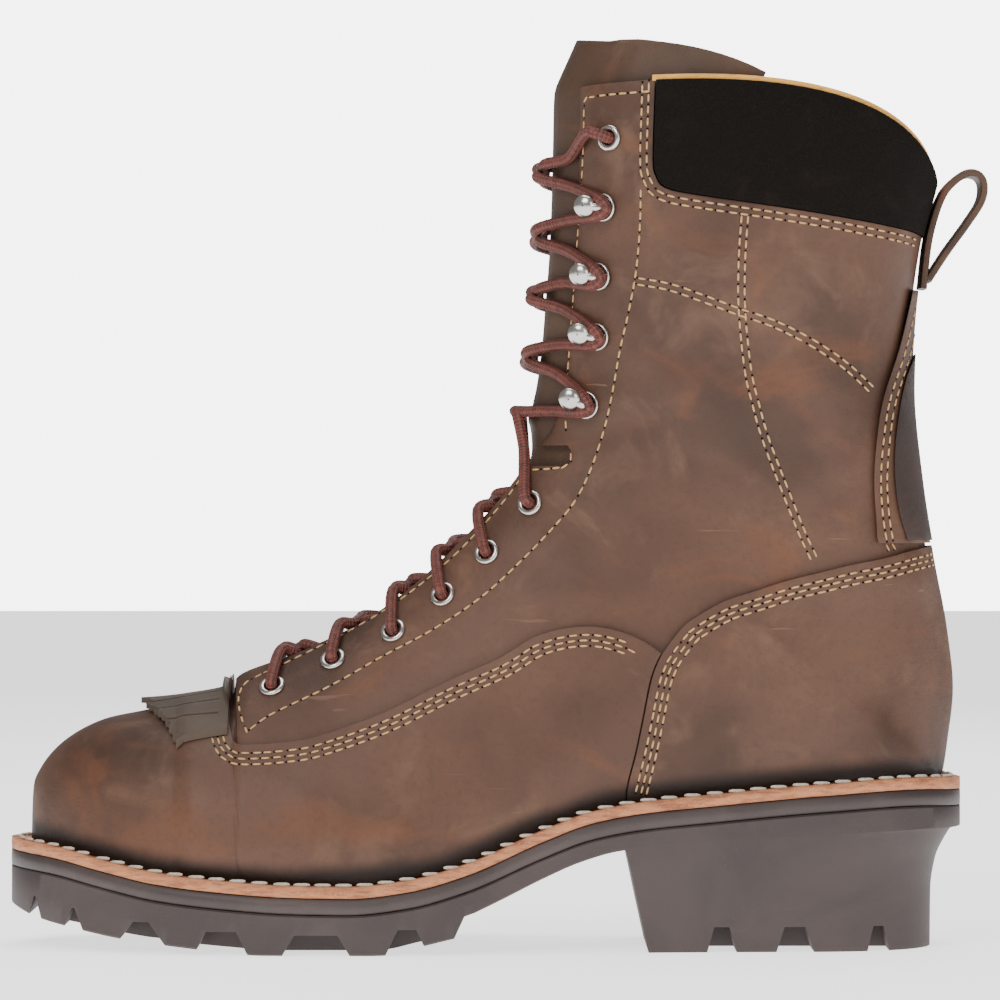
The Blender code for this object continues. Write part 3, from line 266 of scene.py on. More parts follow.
# Tread pattern
SIDE_GAPS = (
    # along, half width at the tread, half width at the root, all as shares of SOLE_LENGTH
    (0.030, 0.0068, 0.0010), (0.0725, 0.0100, 0.0015), (0.145, 0.0237, 0.0084),
    (0.2287, 0.0263, 0.0158), (0.3267, 0.0348, 0.0221), (0.4200, 0.0195, 0.0095),
)
HEEL_GAPS = (
    (0.745, 0.0153, 0.0079), (0.821, 0.0195, 0.0110), (0.908, 0.0116, 0.0053),
)
GAP_REACH = 0.026          # how far a side gap runs in from the edge of the sole
CHANNEL_IN = 0.019         # channel between side lugs and middle lugs, from the edge
CHANNEL_WIDE = 0.005
HEEL_GAP_DEPTH = 0.0082
HEEL_ISLAND = 0.011        # half width of the uncut middle of the heel
MIDDLE_GAPS = (0.19, 0.28, 0.375)
MIDDLE_GAP_WIDE = 0.0035

# Heel block: height share of the breast's top, place of breast and back along the sole
HEEL_BREAST = ((0.0, 0.669), (0.4, 0.659), (0.8, 0.6495), (1.0, 0.644))
HEEL_BACK = ((0.0, 0.9685), (0.45, 0.9690), (0.70, 0.9740), (0.85, 0.9830), (1.0, 0.9960))
HEEL_SIDE_TAPER = 0.0016

SIDES = ((-1, "outer"), (1, "inner"))

# Fittings and lace, beyond what the part has
FITTING_RAISE = 0.0004     # eyelet rings and hook plates above the leather
BARREL_DEPTH = 0.0022
DISC_THICK = 0.0006        # disc of painted shade in an eyelet's opening
HEAD_DROP = 0.0012
HEAD_TILT = -0.25
NECK_RADIUS = 0.0016
LACE_CLEAR = 0.0007        # between the lace and an edge that it runs over
LACE_UNDER = 0.0045        # below the edge that it dips under

# Studio lights: name, place, size in metres, power in watts
LIGHTS = (
    ("key", (-0.7, -1.5, 1.3), 0.9, 17.0),
    ("front", (0.9, -1.7, 0.6), 0.8, 6.0),
    ("top", (0.0, 0.1, 1.6), 1.0, 12.0),
    ("back", (0.4, 1.5, 1.2), 1.0, 10.0),
)

# Finer than the part
EDGE_STEPS = 240
FINE_ROWS = 6              # rows of points for each section row
FINE_CROWN = 22
FINE_SIDE = 22
FINE_HEEL_POINTS = 40
FINE_HEEL_LEVELS = 24
HEEL_EASE_SIDE = 0.010     # beside the back line, where evening out starts
SOAKED_HEIGHT = 0.013      # dark oily band above the welt
BACK_PANEL_PROUD = 0.0008
COLLAR_SWELL = 0.0012
NOTCH_SWELL = 0.0050        # tongue at the notch, over its plain rise
NOTCH_ROW = 17.0
NOTCH_SPREAD = 1.5
CROSSING_SINK = -0.0018    # highest tongue that the low crossings lie on
CROSSING_RISE = 0.22       # rise of a lace over the tongue, share of the way to the next fitting
RIM_START = 0.36           # step of the top section where the collar's rim starts
RIM_HALF = (0.0020, 0.0011)
RIM_OUT = -0.0018
RIM_UP = 0.0011
KILTIE_CURL = 0.0022
KILTIE_TEETH = 3
KILTIE_TOOTH = 0.0012
LOOP_THICK = 0.0026
WELT_SEAM_IN = 0.0030
PANEL_ROWS = (0.0027, 0.0045, 0.0063)

BACK_PANEL = (
    (0.940, 0.4720), (0.930, 0.510), (0.926, 0.560), (0.930, 0.610), (0.940, 0.660),
    (0.956, 0.6950),
)
LOOP_MIDDLE = (
    (0.9600, 0.765), (0.9650, 0.815), (0.9725, 0.850), (0.9825, 0.877), (0.9960, 0.893),
    (1.0080, 0.900), (1.0190, 0.897), (1.0240, 0.885), (1.0210, 0.866), (1.0060, 0.840),
    (0.9850, 0.808), (0.9655, 0.775),
)

# Soft folds and dents: share along, share up, lean in degrees, half length, half width, height
OUTER_FOLDS = (
    (0.640, 0.600, 18.0, 0.022, 0.0050, -0.0009), (0.660, 0.635, 12.0, 0.020, 0.0045, 0.0006),
    (0.560, 0.470, -38.0, 0.030, 0.0080, -0.0010), (0.600, 0.520, -30.0, 0.026, 0.0070, 0.0006),
    (0.690, 0.560, 8.0, 0.030, 0.0070, -0.0007), (0.760, 0.620, -4.0, 0.032, 0.0090, 0.0006),
    (0.800, 0.700, 6.0, 0.030, 0.0100, -0.0007), (0.720, 0.745, 4.0, 0.016, 0.0030, -0.0004),
    (0.735, 0.728, 8.0, 0.014, 0.0026, 0.0003), (0.430, 0.330, -20.0, 0.030, 0.0060, -0.0006),
    (0.500, 0.240, 28.0, 0.040, 0.0120, -0.0011), (0.360, 0.200, 10.0, 0.040, 0.0120, 0.0006),
    (0.870, 0.560, 80.0, 0.030, 0.0100, -0.0006), (0.840, 0.330, 12.0, 0.030, 0.0140, 0.0006),
)
INNER_FOLDS = (
    (0.640, 0.610, 14.0, 0.024, 0.0050, -0.0009), (0.580, 0.490, -34.0, 0.030, 0.0080, -0.0009),
    (0.700, 0.570, 6.0, 0.030, 0.0070, -0.0007), (0.790, 0.690, 4.0, 0.030, 0.0100, -0.0006),
    (0.480, 0.250, 24.0, 0.040, 0.0120, -0.0010), (0.440, 0.330, -18.0, 0.030, 0.0060, -0.0006),
)

# Seams in pixels of the photograph
EYESTAY_SEAM = (
    (249, 730), (272, 714), (330, 686), (383, 656), (432, 630), (480, 598), (522, 560),
    (560, 520), (578, 496), (592, 466), (604, 430), (612, 395), (620, 350), (628, 315),
    (636, 272), (640, 225), (641, 180),
)
EYESTAY_FRONT = ((262, 674), (246, 683), (239, 696), (240, 712), (246, 730), (252, 744))
FACING_SEAM = (
    (262, 674), (300, 656), (340, 636), (385, 610), (430, 577), (470, 540), (505, 500),
    (524, 474),
)
NOTCH_SEAM = ((530, 470), (556, 468), (568, 464), (571, 452), (564, 445))
FACING_TOP = (
    (566, 430), (566, 400), (570, 345), (574, 290), (578, 235), (582, 180), (584, 130),
    (585, 102), (592, 97), (615, 94), (640, 92), (653, 91),
)
SHAFT_UPRIGHT = (
    (745, 215), (742, 260), (742, 310), (748, 370), (756, 405), (766, 440), (785, 490),
    (803, 535), (820, 571),
)
SHAFT_CROSS = (
    (637, 281), (670, 287), (705, 299), (740, 312), (770, 322), (800, 336), (827, 352),
    (852, 371), (880, 398),
)


def smooth_curve(xs: Sequence[float], ys: Sequence[float], place: float) -> float:
    """Monotone cubic through points, flat past the ends.

    Args:
        xs: Rising places.
        ys: Values at the places.
        place: Where the value is wanted.

    Returns:
        The value, with no overshoot between the points.
    """
    if place <= xs[0]:
        return ys[0]
    if place >= xs[-1]:
        return ys[-1]
    slopes = [(ys[i + 1] - ys[i]) / (xs[i + 1] - xs[i]) for i in range(len(xs) - 1)]
    i = max(k for k in range(len(xs) - 1) if xs[k] <= place)
    tangents = []
    for k in (i, i + 1):
        if k == 0:
            tangents.append(slopes[0])
        elif k == len(xs) - 1:
            tangents.append(slopes[-1])
        elif slopes[k - 1] * slopes[k] <= 0.0:
            tangents.append(0.0)
        else:
            tangents.append(2.0 * slopes[k - 1] * slopes[k] / (slopes[k - 1] + slopes[k]))
    width = xs[i + 1] - xs[i]
    t = (place - xs[i]) / width
    return ((2 * t**3 - 3 * t**2 + 1) * ys[i] + (t**3 - 2 * t**2 + t) * width * tangents[0]
            + (3 * t**2 - 2 * t**3) * ys[i + 1] + (t**3 - t**2) * width * tangents[1])


def column(table: Sequence[Sequence[float]], place: float, index: int = 1) -> float:
    """Smooth value of a table's column at a place in its first column."""
    return smooth_curve([row[0] for row in table], [row[index] for row in table], place)


def along(share: float) -> float:
    """Length from the toe end for a share of the sole's length."""
    return share * SOLE_LENGTH


def high(share: float) -> float:
    """Height above the floor for a share of the shaft's height."""
    return share * SHAFT_HEIGHT


def middle_line(x: float) -> float:
    """Where the sole's middle line lies across the boot at a length."""
    return TOE_SWING * max(0.0, 1.0 - x / along(SWING_END))**2


def welt_top(x: float) -> float:
    """Height of the welt's top at a length."""
    return high(column(WELT_TOP, x / SOLE_LENGTH))


def midsole_top(x: float) -> float:
    """Height of the midsole's top at a length."""
    return welt_top(x) - WELT_THICK - FIT


def midsole_bottom(x: float) -> float:
    """Height of the midsole's underside at a length."""
    return midsole_top(x) - MIDSOLE_THICK


def outsole_top(x: float) -> float:
    """Height of the outsole's top at a length."""
    return midsole_bottom(x) - FIT


def tread_bottom(x: float) -> float:
    """Underside of the outsole at a length, before any gap is cut."""
    share = x / SOLE_LENGTH
    return high(column(TREAD if share < TREAD[-1][0] else ARCH, share))


_EDGES: dict[tuple[int, float], np.ndarray] = {}


def edge_points(side: int, inset: float = 0.0) -> np.ndarray:
    """One edge of the sole from toe end to heel end.

    Args:
        side: -1 for the outer side, 1 for the inner side.
        inset: How far the edge is moved in.

    Returns:
        Rows of X and Y.
    """
    if (side, inset) in _EDGES:
        return _EDGES[side, inset]
    points = []
    for i in range(EDGE_STEPS + 1):
        share = 0.5 - 0.5 * math.cos(math.pi * i / EDGE_STEPS)
        half = column(OUTLINE, share, 1 if side < 0 else 2) * BALL_WIDTH
        if share < TOE_ROUND:
            half *= max(0.0, 1.0 - (1.0 - share / TOE_ROUND)**ROUND_POWER)**(1.0 / ROUND_POWER)
        if share > 1.0 - HEEL_ROUND:
            past = (share - 1.0 + HEEL_ROUND) / HEEL_ROUND
            half *= max(0.0, 1.0 - past**ROUND_POWER)**(1.0 / ROUND_POWER)
        points.append((along(share), middle_line(along(share)) + side * half))
    edge = np.array(points)
    if inset != 0.0:
        step = np.gradient(edge, axis=0)
        step[0] = (0.0, side)
        step[-1] = (0.0, -side)
        step /= np.linalg.norm(step, axis=1)[:, None]
        ends = edge[0, 1], edge[-1, 1]
        edge = edge + np.stack([step[:, 1] * side, -step[:, 0] * side], axis=1) * inset
        edge[0, 1], edge[-1, 1] = ends
    _EDGES[side, inset] = edge
    return edge


def half_width(x: float, side: int, inset: float) -> float:
    """Distance from the middle line to the sole's edge less the inset."""
    edge = edge_points(side, inset)
    reach = np.abs(edge[:, 1] - [middle_line(v) for v in edge[:, 0]])
    return float(np.interp(x, edge[:, 0], reach, left=0.0, right=0.0))


def section(place: float) -> dict[str, float]:
    """All columns of the section table at a place between its rows."""
    rows = list(range(len(SECTIONS)))
    return {name: smooth_curve(rows, [row[k] for row in SECTIONS], place)
            for k, name in enumerate(SECTION_COLUMNS)}


def section_points(place: float, side: int, steps: Sequence[float]) -> Path:
    """Points of one side of a section.

    Args:
        place: Row of the section table, or a place between two rows.
        side: -1 for the outer side, 1 for the inner side.
        steps: Positions from 0 at the top point, past 1 at the widest, to 2 at the low point.

    Returns:
        One point for each step, in the last's frame.
    """
    s = section(place)
    top = Vector((along(s["top_x"]), 0.0, high(s["top_z"])))
    low = Vector((along(s["low_x"]), 0.0, high(s["low_z"])))
    foot = 0.0
    if place <= HEEL_ROW:
        low.z = welt_top(low.x) + STAND
        foot = half_width(low.x, side, UPPER_INSET) if place < HEEL_ROW else 0.0
    belly_half = max(s["outer" if side < 0 else "inner"] * BALL_WIDTH, foot * 1.02)
    gap = s["gap"] * BALL_WIDTH if place >= THROAT_ROW else 0.0
    rise = high(s["lift"])
    handle_a = top.lerp(low, 1.0 / 3.0) + Vector((0.0, 0.0, 0.5 * rise))
    handle_b = top.lerp(low, 2.0 / 3.0) + Vector((rise, 0.0, rise))
    points = []
    for step in steps:
        if step <= 1.0:
            v = s["belly"] * step
            half = gap + (belly_half - gap) * (
                1.0 - (1.0 - step)**s["crown"])**(1.0 / s["crown"])
        else:
            u = step - 1.0
            v = s["belly"] + (1.0 - s["belly"]) * u
            half = foot + (belly_half - foot) * max(
                0.0, 1.0 - u**SIDE_POWER)**(1.0 / s["turn"])
        w = 1.0 - v
        point = w**3 * top + 3 * w * w * v * handle_a + 3 * w * v * v * handle_b + v**3 * low
        point.y = middle_line(point.x) + side * half
        points.append(point)
    return points


def surface_frame(place: float, side: int, step: float) -> tuple[Vector, Vector]:
    """Point and outward normal of the upper at a section and a step down it."""
    here = section_points(place, side, (step, max(step - 0.02, 0.0), step + 0.02))
    before = section_points(max(place - 0.05, 0.0), side, (step,))[0]
    after = section_points(min(place + 0.05, TOP_ROW), side, (step,))[0]
    normal = (here[2] - here[1]).cross(after - before) * -side
    return here[0], normal.normalized()


def find_place(x: float, z: float, side: int) -> Pair:
    """Section and step of the upper that lie at a length and height in side view."""
    target = Vector((along(x), 0.0, high(z)))
    centre, reach_p, step_s, reach_s = 18.0, 9.0, 0.7, 0.7
    for _ in range(5):
        found = []
        steps = [max(0.0, step_s + reach_s * k / 8.0) for k in range(-8, 9)]
        for i in range(-12, 13):
            place = min(max(centre + reach_p * i / 12.0, THROAT_ROW), TOP_ROW)
            for step, point in zip(steps, section_points(place, side, steps)):
                found.append(((Vector((point.x, 0.0, point.z)) - target).length, place, step))
        _, centre, step_s = min(found)
        reach_p *= 0.25
        reach_s *= 0.25
    return centre, step_s


def rounded(points: Sequence[Vector], steps: int = 6) -> Path:
    """Catmull-Rom curve through points.

    Args:
        points: Points that the curve passes.
        steps: Pieces of the curve between two points.

    Returns:
        The curve's points, ends included.
    """
    ends = [points[0] * 2.0 - points[1], *points, points[-1] * 2.0 - points[-2]]
    curve: Path = []
    for a, b, c, d in zip(ends[:-3], ends[1:-2], ends[2:-1], ends[3:]):
        for k in range(steps):
            t = k / steps
            curve.append(0.5 * (2.0 * b + (c - a) * t + (2.0 * a - 5.0 * b + 4.0 * c - d) * t**2
                                + (3.0 * b - a - 3.0 * c + d) * t**3))
    return curve + [points[-1].copy()]


def shift_to_part() -> Vector:
    """Offset from the last's frame to the part's: the toe end of the welt, centred across."""
    across = [float(v) for side in (-1, 1) for v in edge_points(side)[:, 1]]
    return Vector((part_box("welt")[0][0], -0.5 * (min(across) + max(across)), 0.0))


SHIFT = shift_to_part()


def sheet_of(rows: Sequence[Sequence[Vector]], ring: bool = False) -> bmesh.types.BMesh:
    """Grid bent through rows of points.

    Args:
        rows: Rows with the same number of points.
        ring: Whether each row closes on itself.

    Returns:
        An open sheet of quads.
    """
    rows = [[*row, row[0]] for row in rows] if ring else [list(row) for row in rows]
    bm = bmesh.new()
    bmesh.ops.create_grid(bm, x_segments=len(rows[0]) - 1, y_segments=len(rows) - 1, size=1.0)
    bm.verts.ensure_lookup_table()
    for vert, point in zip(bm.verts, [point for row in rows for point in row]):
        vert.co = point
    if ring:
        bmesh.ops.remove_doubles(bm, verts=bm.verts, dist=0.000002)
    return bm


def capped(rows: Sequence[Sequence[Vector]]) -> bmesh.types.BMesh:
    """Closed solid through rows that are rings."""
    bm = sheet_of(rows, ring=True)
    open_edges = [edge for edge in bm.edges if edge.is_boundary]
    bmesh.ops.holes_fill(bm, edges=open_edges, sides=0)
    bmesh.ops.remove_doubles(bm, verts=bm.verts, dist=0.00002)
    bmesh.ops.recalc_face_normals(bm, faces=bm.faces)
    return bm


def swept(path: Path, radius: float | Callable[[float], float], sides: int = 12,
          flat: Pair | None = None) -> bmesh.types.BMesh:
    """Cord or strap along a path, with its turns kept from frame to frame and UVs.

    Args:
        path: Points of the middle line.
        radius: Radius, or a function from 0 to 1 along the path.
        sides: Points round the cord.
        flat: Half width and half thickness of a strap instead of a round section.

    Returns:
        A closed solid; U is the length in cord diameters and V the turn.
    """
    rows = []
    across = Vector((0.0, 1.0, 0.0))
    lengths = [0.0]
    for i, point in enumerate(path):
        run = (path[min(i + 1, len(path) - 1)] - path[max(i - 1, 0)]).normalized()
        across = (across - run * across.dot(run)).normalized()
        other = run.cross(across)
        if i:
            lengths.append(lengths[-1] + (point - path[i - 1]).length)
        reach = radius(i / (len(path) - 1)) if callable(radius) else radius
        row = []
        for k in range(sides):
            turn = math.tau * k / sides
            wide, thin = math.cos(turn), math.sin(turn)
            if flat:
                wide = math.copysign(abs(wide)**0.35, wide) * flat[0] / reach
                thin = math.copysign(abs(thin)**0.35, thin) * flat[1] / reach
            row.append(point + (across * wide + other * thin) * reach)
        rows.append([*row, row[0].copy()])
    bm = sheet_of(rows)
    layer = bm.loops.layers.uv.new("UVMap")
    wide = len(rows[0])
    for face in bm.faces:
        for loop in face.loops:
            i, k = divmod(loop.vert.index, wide)
            loop[layer].uv = (lengths[i] / 0.004, k / sides)
    bmesh.ops.remove_doubles(bm, verts=bm.verts, dist=0.000002)
    bmesh.ops.holes_fill(bm, edges=[e for e in bm.edges if e.is_boundary], sides=0)
    bmesh.ops.recalc_face_normals(bm, faces=bm.faces)
    return bm


def mesh_from(bm: bmesh.types.BMesh, name: str, angle: float = 40.0) -> bpy.types.Mesh:
    """Turn a bmesh into a smooth shaded mesh with sharp edges past an angle in degrees."""
    mesh = bpy.data.meshes.new(name)
    bm.to_mesh(mesh)
    bm.free()
    mesh.shade_smooth()
    mesh.set_sharp_from_angle(angle=math.radians(angle))
    return mesh


def place_piece(name: str, mesh: bpy.types.Mesh, materials: Sequence[bpy.types.Material],
                nodes: Iterable[str] = (), shift: bool = True) -> bpy.types.Object:
    """Make an object that rides on the boot.

    Args:
        name: Name of the piece.
        mesh: Its mesh, in the last's frame.
        materials: Finishes, by material index.
        nodes: Nodes of the part that it stands for.
        shift: Whether the mesh is still in the last's frame.

    Returns:
        The new object.
    """
    if shift:
        mesh.transform(Matrix.Translation(SHIFT))
    mesh.materials.clear()
    for material in materials:
        mesh.materials.append(material)
    item = bpy.data.objects.new(name, mesh)
    bpy.context.scene.collection.objects.link(item)
    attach(item, "root")
    if nodes:
        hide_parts(*nodes)
    log.info("%s: %d faces", name, len(mesh.polygons))
    return item


def joined(parts: Sequence[bmesh.types.BMesh]) -> bmesh.types.BMesh:
    """Put several bmeshes in one."""
    whole = bmesh.new()
    for part in parts:
        mesh = bpy.data.meshes.new("joined")
        part.to_mesh(mesh)
        part.free()
        whole.from_mesh(mesh)
        bpy.data.meshes.remove(mesh)
    return whole


class Cut(Enum):
    """How a cutter changes a solid."""

    ADD = "UNION"
    TAKE = "DIFFERENCE"
    KEEP = "INTERSECT"


def carved(bm: bmesh.types.BMesh, cutters: Sequence[tuple[bmesh.types.BMesh, Cut]],
           soften: float = 0.0, own: bool = False) -> bmesh.types.BMesh:
    """Cut a solid with others and round the fresh edges.

    Args:
        bm: The solid.
        cutters: Each cutter and what it does.
        soften: Width of the rounding, or 0 for none.
        own: Whether the solid may cross itself, as a wall over the narrow toe does.

    Returns:
        The cut solid.
    """
    holder = bpy.data.objects.new("solid", mesh_from(bm, "solid"))
    bpy.context.scene.collection.objects.link(holder)
    helpers = []
    for cutter, kind in cutters:
        bmesh.ops.recalc_face_normals(cutter, faces=cutter.faces)
        helper = bpy.data.objects.new("cutter", mesh_from(cutter, "cutter"))
        bpy.context.scene.collection.objects.link(helper)
        step = holder.modifiers.new("cut", "BOOLEAN")
        step.operation = kind.value
        step.object = helper
        step.solver = "EXACT"
        step.use_self = own
        helpers.append(helper)
    graph = bpy.context.evaluated_depsgraph_get()
    mesh = bpy.data.meshes.new_from_object(holder.evaluated_get(graph))
    for item in [holder, *helpers]:
        bpy.data.objects.remove(item, do_unlink=True)
    result = bmesh.new()
    result.from_mesh(mesh)
    bpy.data.meshes.remove(mesh)
    if soften > 0.0:
        bmesh.ops.dissolve_degenerate(result, dist=0.00001, edges=result.edges)
        sharp = [e for e in result.edges
                 if len(e.link_faces) == 2 and e.calc_face_angle(0.0) > math.radians(55.0)]
        bmesh.ops.bevel(result, geom=sharp, offset=soften, segments=2, profile=0.5,
                        affect="EDGES", material=-1, clamp_overlap=True)
    return result


def side_prism(outline: Sequence[Pair], reach: Pair = (-0.09, 0.09)) -> bmesh.types.BMesh:
    """Solid with a side view outline in shares, right across the boot."""
    bm = bmesh.new()
    face = bm.faces.new([bm.verts.new((along(x), reach[0], high(z))) for x, z in outline])
    grown = bmesh.ops.extrude_face_region(bm, geom=[face])
    moved = [v for v in grown["geom"] if isinstance(v, bmesh.types.BMVert)]
    bmesh.ops.translate(bm, verts=moved, vec=(0.0, reach[1] - reach[0], 0.0))
    return bm


def curved(outline: Sequence[Pair], steps: int = 4) -> list[Pair]:
    """Side view outline in shares with rounded corners between its points."""
    return [(p.x, p.y) for p in rounded([Vector((x, z, 0.0)) for x, z in outline], steps)]


def bump_of(x: float, z: float, spot: Sequence[float]) -> float:
    """Height of one soft fold at a side view place.

    Args:
        x: Length from the toe end.
        z: Height.
        spot: Share along, share up, lean in degrees, half length, half width, height.

    Returns:
        The fold's part of the relief, in metres.
    """
    share_x, share_z, lean, long, wide, height = spot
    dx, dz = x - along(share_x), z - high(share_z)
    turn = math.radians(lean)
    run = dx * math.cos(turn) + dz * math.sin(turn)
    off = dz * math.cos(turn) - dx * math.sin(turn)
    return height * math.exp(-(run / long)**2 - (off / wide)**2)


def relief(point: Vector) -> float:
    """Sum of the folds and dents of the leather at a place."""
    folds = OUTER_FOLDS if point.y < middle_line(point.x) else INNER_FOLDS
    return sum(bump_of(point.x, point.z, fold) for fold in folds)


def upper_sheet(first: float, last: float, detail: int) -> bmesh.types.BMesh:
    """Fine open surface of the upper between two section rows.

    Args:
        first: First row of the section table.
        last: Last row.
        detail: Rows of points for each row of the table.

    Returns:
        The surface with its normals out, its folds in and its heel evened out.
    """
    crown = [1.0 - math.cos(0.5 * math.pi * i / FINE_CROWN) for i in range(FINE_CROWN + 1)]
    side = [1.0 + math.sin(0.5 * math.pi * i / FINE_SIDE) for i in range(1, FINE_SIDE + 1)]
    steps = crown + side
    rows = []
    for place in np.linspace(first, last, int(round((last - first) * detail)) + 1):
        outer = section_points(float(place), -1, steps)
        inner = section_points(float(place), 1, steps)
        if place == 0.0:
            for point in outer + inner:
                point.y = middle_line(point.x)
        rows.append([*reversed(outer), *inner])
    bm = sheet_of(rows)
    bm.faces.ensure_lookup_table()
    wide = len(rows[0]) - 1
    middle = [face for face in bm.faces if face.index % wide == len(steps) - 1]
    bmesh.ops.delete(bm, geom=middle, context="FACES")
    bmesh.ops.remove_doubles(bm, verts=bm.verts, dist=0.00002)
    sides = [v for v in bm.verts if not v.is_boundary and abs(v.co.y) > HEEL_EASE_SIDE
             and v.co.x > along(HEEL_EASE_FROM) and v.co.z < high(HEEL_EASE_BELOW)]
    for _ in range(HEEL_EASE_TIMES * detail * 4 if sides else 0):
        bmesh.ops.smooth_vert(bm, verts=sides, factor=0.5,
                              use_axis_x=True, use_axis_y=True, use_axis_z=True)
    bmesh.ops.recalc_face_normals(bm, faces=bm.faces)
    bm.normal_update()
    probe = max(bm.verts, key=lambda v: v.co.y)
    if probe.normal.y < 0.0:
        bmesh.ops.reverse_faces(bm, faces=bm.faces)
    bm.normal_update()
    for vert in bm.verts:
        if not vert.is_boundary:
            vert.co += vert.normal * relief(vert.co)
    bm.normal_update()
    return bm


def shell(bm: bmesh.types.BMesh, inside: float, outside: Callable[[Vector], float] | float
          ) -> bmesh.types.BMesh:
    """Wall between two distances out from an open surface; its inner faces have material 1.

    Args:
        bm: The surface, which is used up.
        inside: Distance of the inner face.
        outside: Distance of the outer face, or a function of the place.

    Returns:
        A closed wall.
    """
    normals = {}
    for vert in bm.verts:
        normal = vert.normal.copy()
        if vert.is_boundary and vert.co.z < welt_top(vert.co.x) + 2.0 * STAND:
            normal.z = 0.0
            normal.normalize()
        normals[vert.co.to_tuple(7)] = normal
    faces = list(bm.faces)
    grown = bmesh.ops.extrude_face_region(bm, geom=faces, use_keep_orig=True)
    fresh = {item for item in grown["geom"] if isinstance(item, bmesh.types.BMVert)}
    for face in faces:
        face.material_index = 1
    for vert in bm.verts:
        normal = normals[vert.co.to_tuple(7)]
        reach = outside(vert.co) if callable(outside) else outside
        vert.co = vert.co + normal * (reach if vert in fresh else inside)
    bmesh.ops.recalc_face_normals(bm, faces=bm.faces)
    return bm


class Value:
    """A node socket that takes part in Python expressions."""

    def __init__(self, finish: "Nodes", socket: bpy.types.NodeSocket) -> None:
        """Wrap an output socket of a finish's node tree."""
        self.finish = finish
        self.socket = socket

    def _math(self, operation: str, *values: "Value | float") -> "Value":
        """Add a Math node over the values."""
        return self.finish.node("ShaderNodeMath", {"operation": operation},
                                dict(enumerate(values)))

    def __add__(self, other: "Value | float") -> "Value":
        """Sum."""
        return self._math("ADD", self, other)

    def __radd__(self, other: float) -> "Value":
        """Sum with a number first."""
        return self._math("ADD", other, self)

    def __sub__(self, other: "Value | float") -> "Value":
        """Difference."""
        return self._math("SUBTRACT", self, other)

    def __rsub__(self, other: float) -> "Value":
        """A number less this."""
        return self._math("SUBTRACT", other, self)

    def __mul__(self, other: "Value | float") -> "Value":
        """Product."""
        return self._math("MULTIPLY", self, other)

    def __rmul__(self, other: float) -> "Value":
        """Product with a number first."""
        return self._math("MULTIPLY", other, self)

    def __pow__(self, other: float) -> "Value":
        """Power."""
        return self._math("POWER", self, other)

    def between(self, low: float, top: float) -> "Value":
        """Smooth step from 0 at low to 1 at top."""
        return self.finish.node("ShaderNodeMapRange", {"interpolation_type": "SMOOTHSTEP"},
                                {"Value": self, "From Min": low, "From Max": top})

    def sine(self) -> "Value":
        """Sine of this."""
        return self._math("SINE", self)


class Nodes:
    """Node tree of one finish."""

    def __init__(self, name: str) -> None:
        """Start a material of a name.

        Args:
            name: Name of the material.
        """
        self.material = bpy.data.materials.new(name)
        self.material.use_nodes = True
        self.tree = self.material.node_tree
        self.shader = self.tree.nodes["Principled BSDF"]
        self.place = self.node("ShaderNodeTexCoord", output="Object")

    def node(self, kind: str, settings: dict[str, object] | None = None,
             values: dict[str | int, object] | None = None, output: str | int = 0) -> Value:
        """Add a node.

        Args:
            kind: The node's type.
            settings: Its settings, or the stops of a ramp under "stops".
            values: Values or links of its sockets.
            output: The output that is wanted.

        Returns:
            The output's wrapper.
        """
        made = self.tree.nodes.new(kind)
        for key, value in (settings or {}).items():
            if key == "stops":
                ramp = made.color_ramp.elements
                while len(ramp) < len(value):
                    ramp.new(0.5)
                for stop, (at, colour) in zip(ramp, value):
                    stop.position = at
                    stop.color = (*colour, 1.0)
            else:
                setattr(made, key, value)
        for key, value in (values or {}).items():
            if isinstance(value, Value):
                self.tree.links.new(value.socket, made.inputs[key])
            else:
                made.inputs[key].default_value = value
        return Value(self, made.outputs[output])

    def noise(self, scale: float, detail: float = 3.0, rough: float = 0.5,
              warp: float = 0.0, where: Value | None = None) -> Value:
        """Noise from 0 to 1 over the piece."""
        return self.node("ShaderNodeTexNoise", {}, {
            "Vector": where or self.place, "Scale": scale, "Detail": detail,
            "Roughness": rough, "Distortion": warp})

    def stretched(self, scale: tuple[float, float, float], turn: float = 0.0) -> Value:
        """Object coordinates stretched by axis and turned about Y."""
        return self.node("ShaderNodeMapping", {}, {
            "Vector": self.place, "Scale": scale, "Rotation": (0.0, turn, 0.0)})

    def mixed(self, factor: Value | float, first: object, second: object) -> Value:
        """Mix of two colours."""
        return self.node("ShaderNodeMix", {"data_type": "RGBA"},
                         {0: factor, 6: first, 7: second}, 2)

    def put(self, socket: str, value: Value | float | tuple[float, ...]) -> None:
        """Set or link a socket of the shader."""
        if isinstance(value, Value):
            self.tree.links.new(value.socket, self.shader.inputs[socket])
        else:
            self.shader.inputs[socket].default_value = value

    def bump(self, height: Value, depth: float) -> None:
        """Drive the normal with a height.

        Args:
            height: Relief from 0 to 1.
            depth: What 1 stands for, in metres.
        """
        self.put("Normal", self.node("ShaderNodeBump", {}, {
            "Height": height, "Distance": depth, "Strength": 1.0}))


def rgb(red: int, green: int, blue: int) -> tuple[float, float, float, float]:
    """Linear colour of an 8-bit screen colour."""
    shares = [v / 255.0 for v in (red, green, blue)]
    linear = [v / 12.92 if v <= 0.04045 else ((v + 0.055) / 1.055)**2.4 for v in shares]
    return (*linear, 1.0)


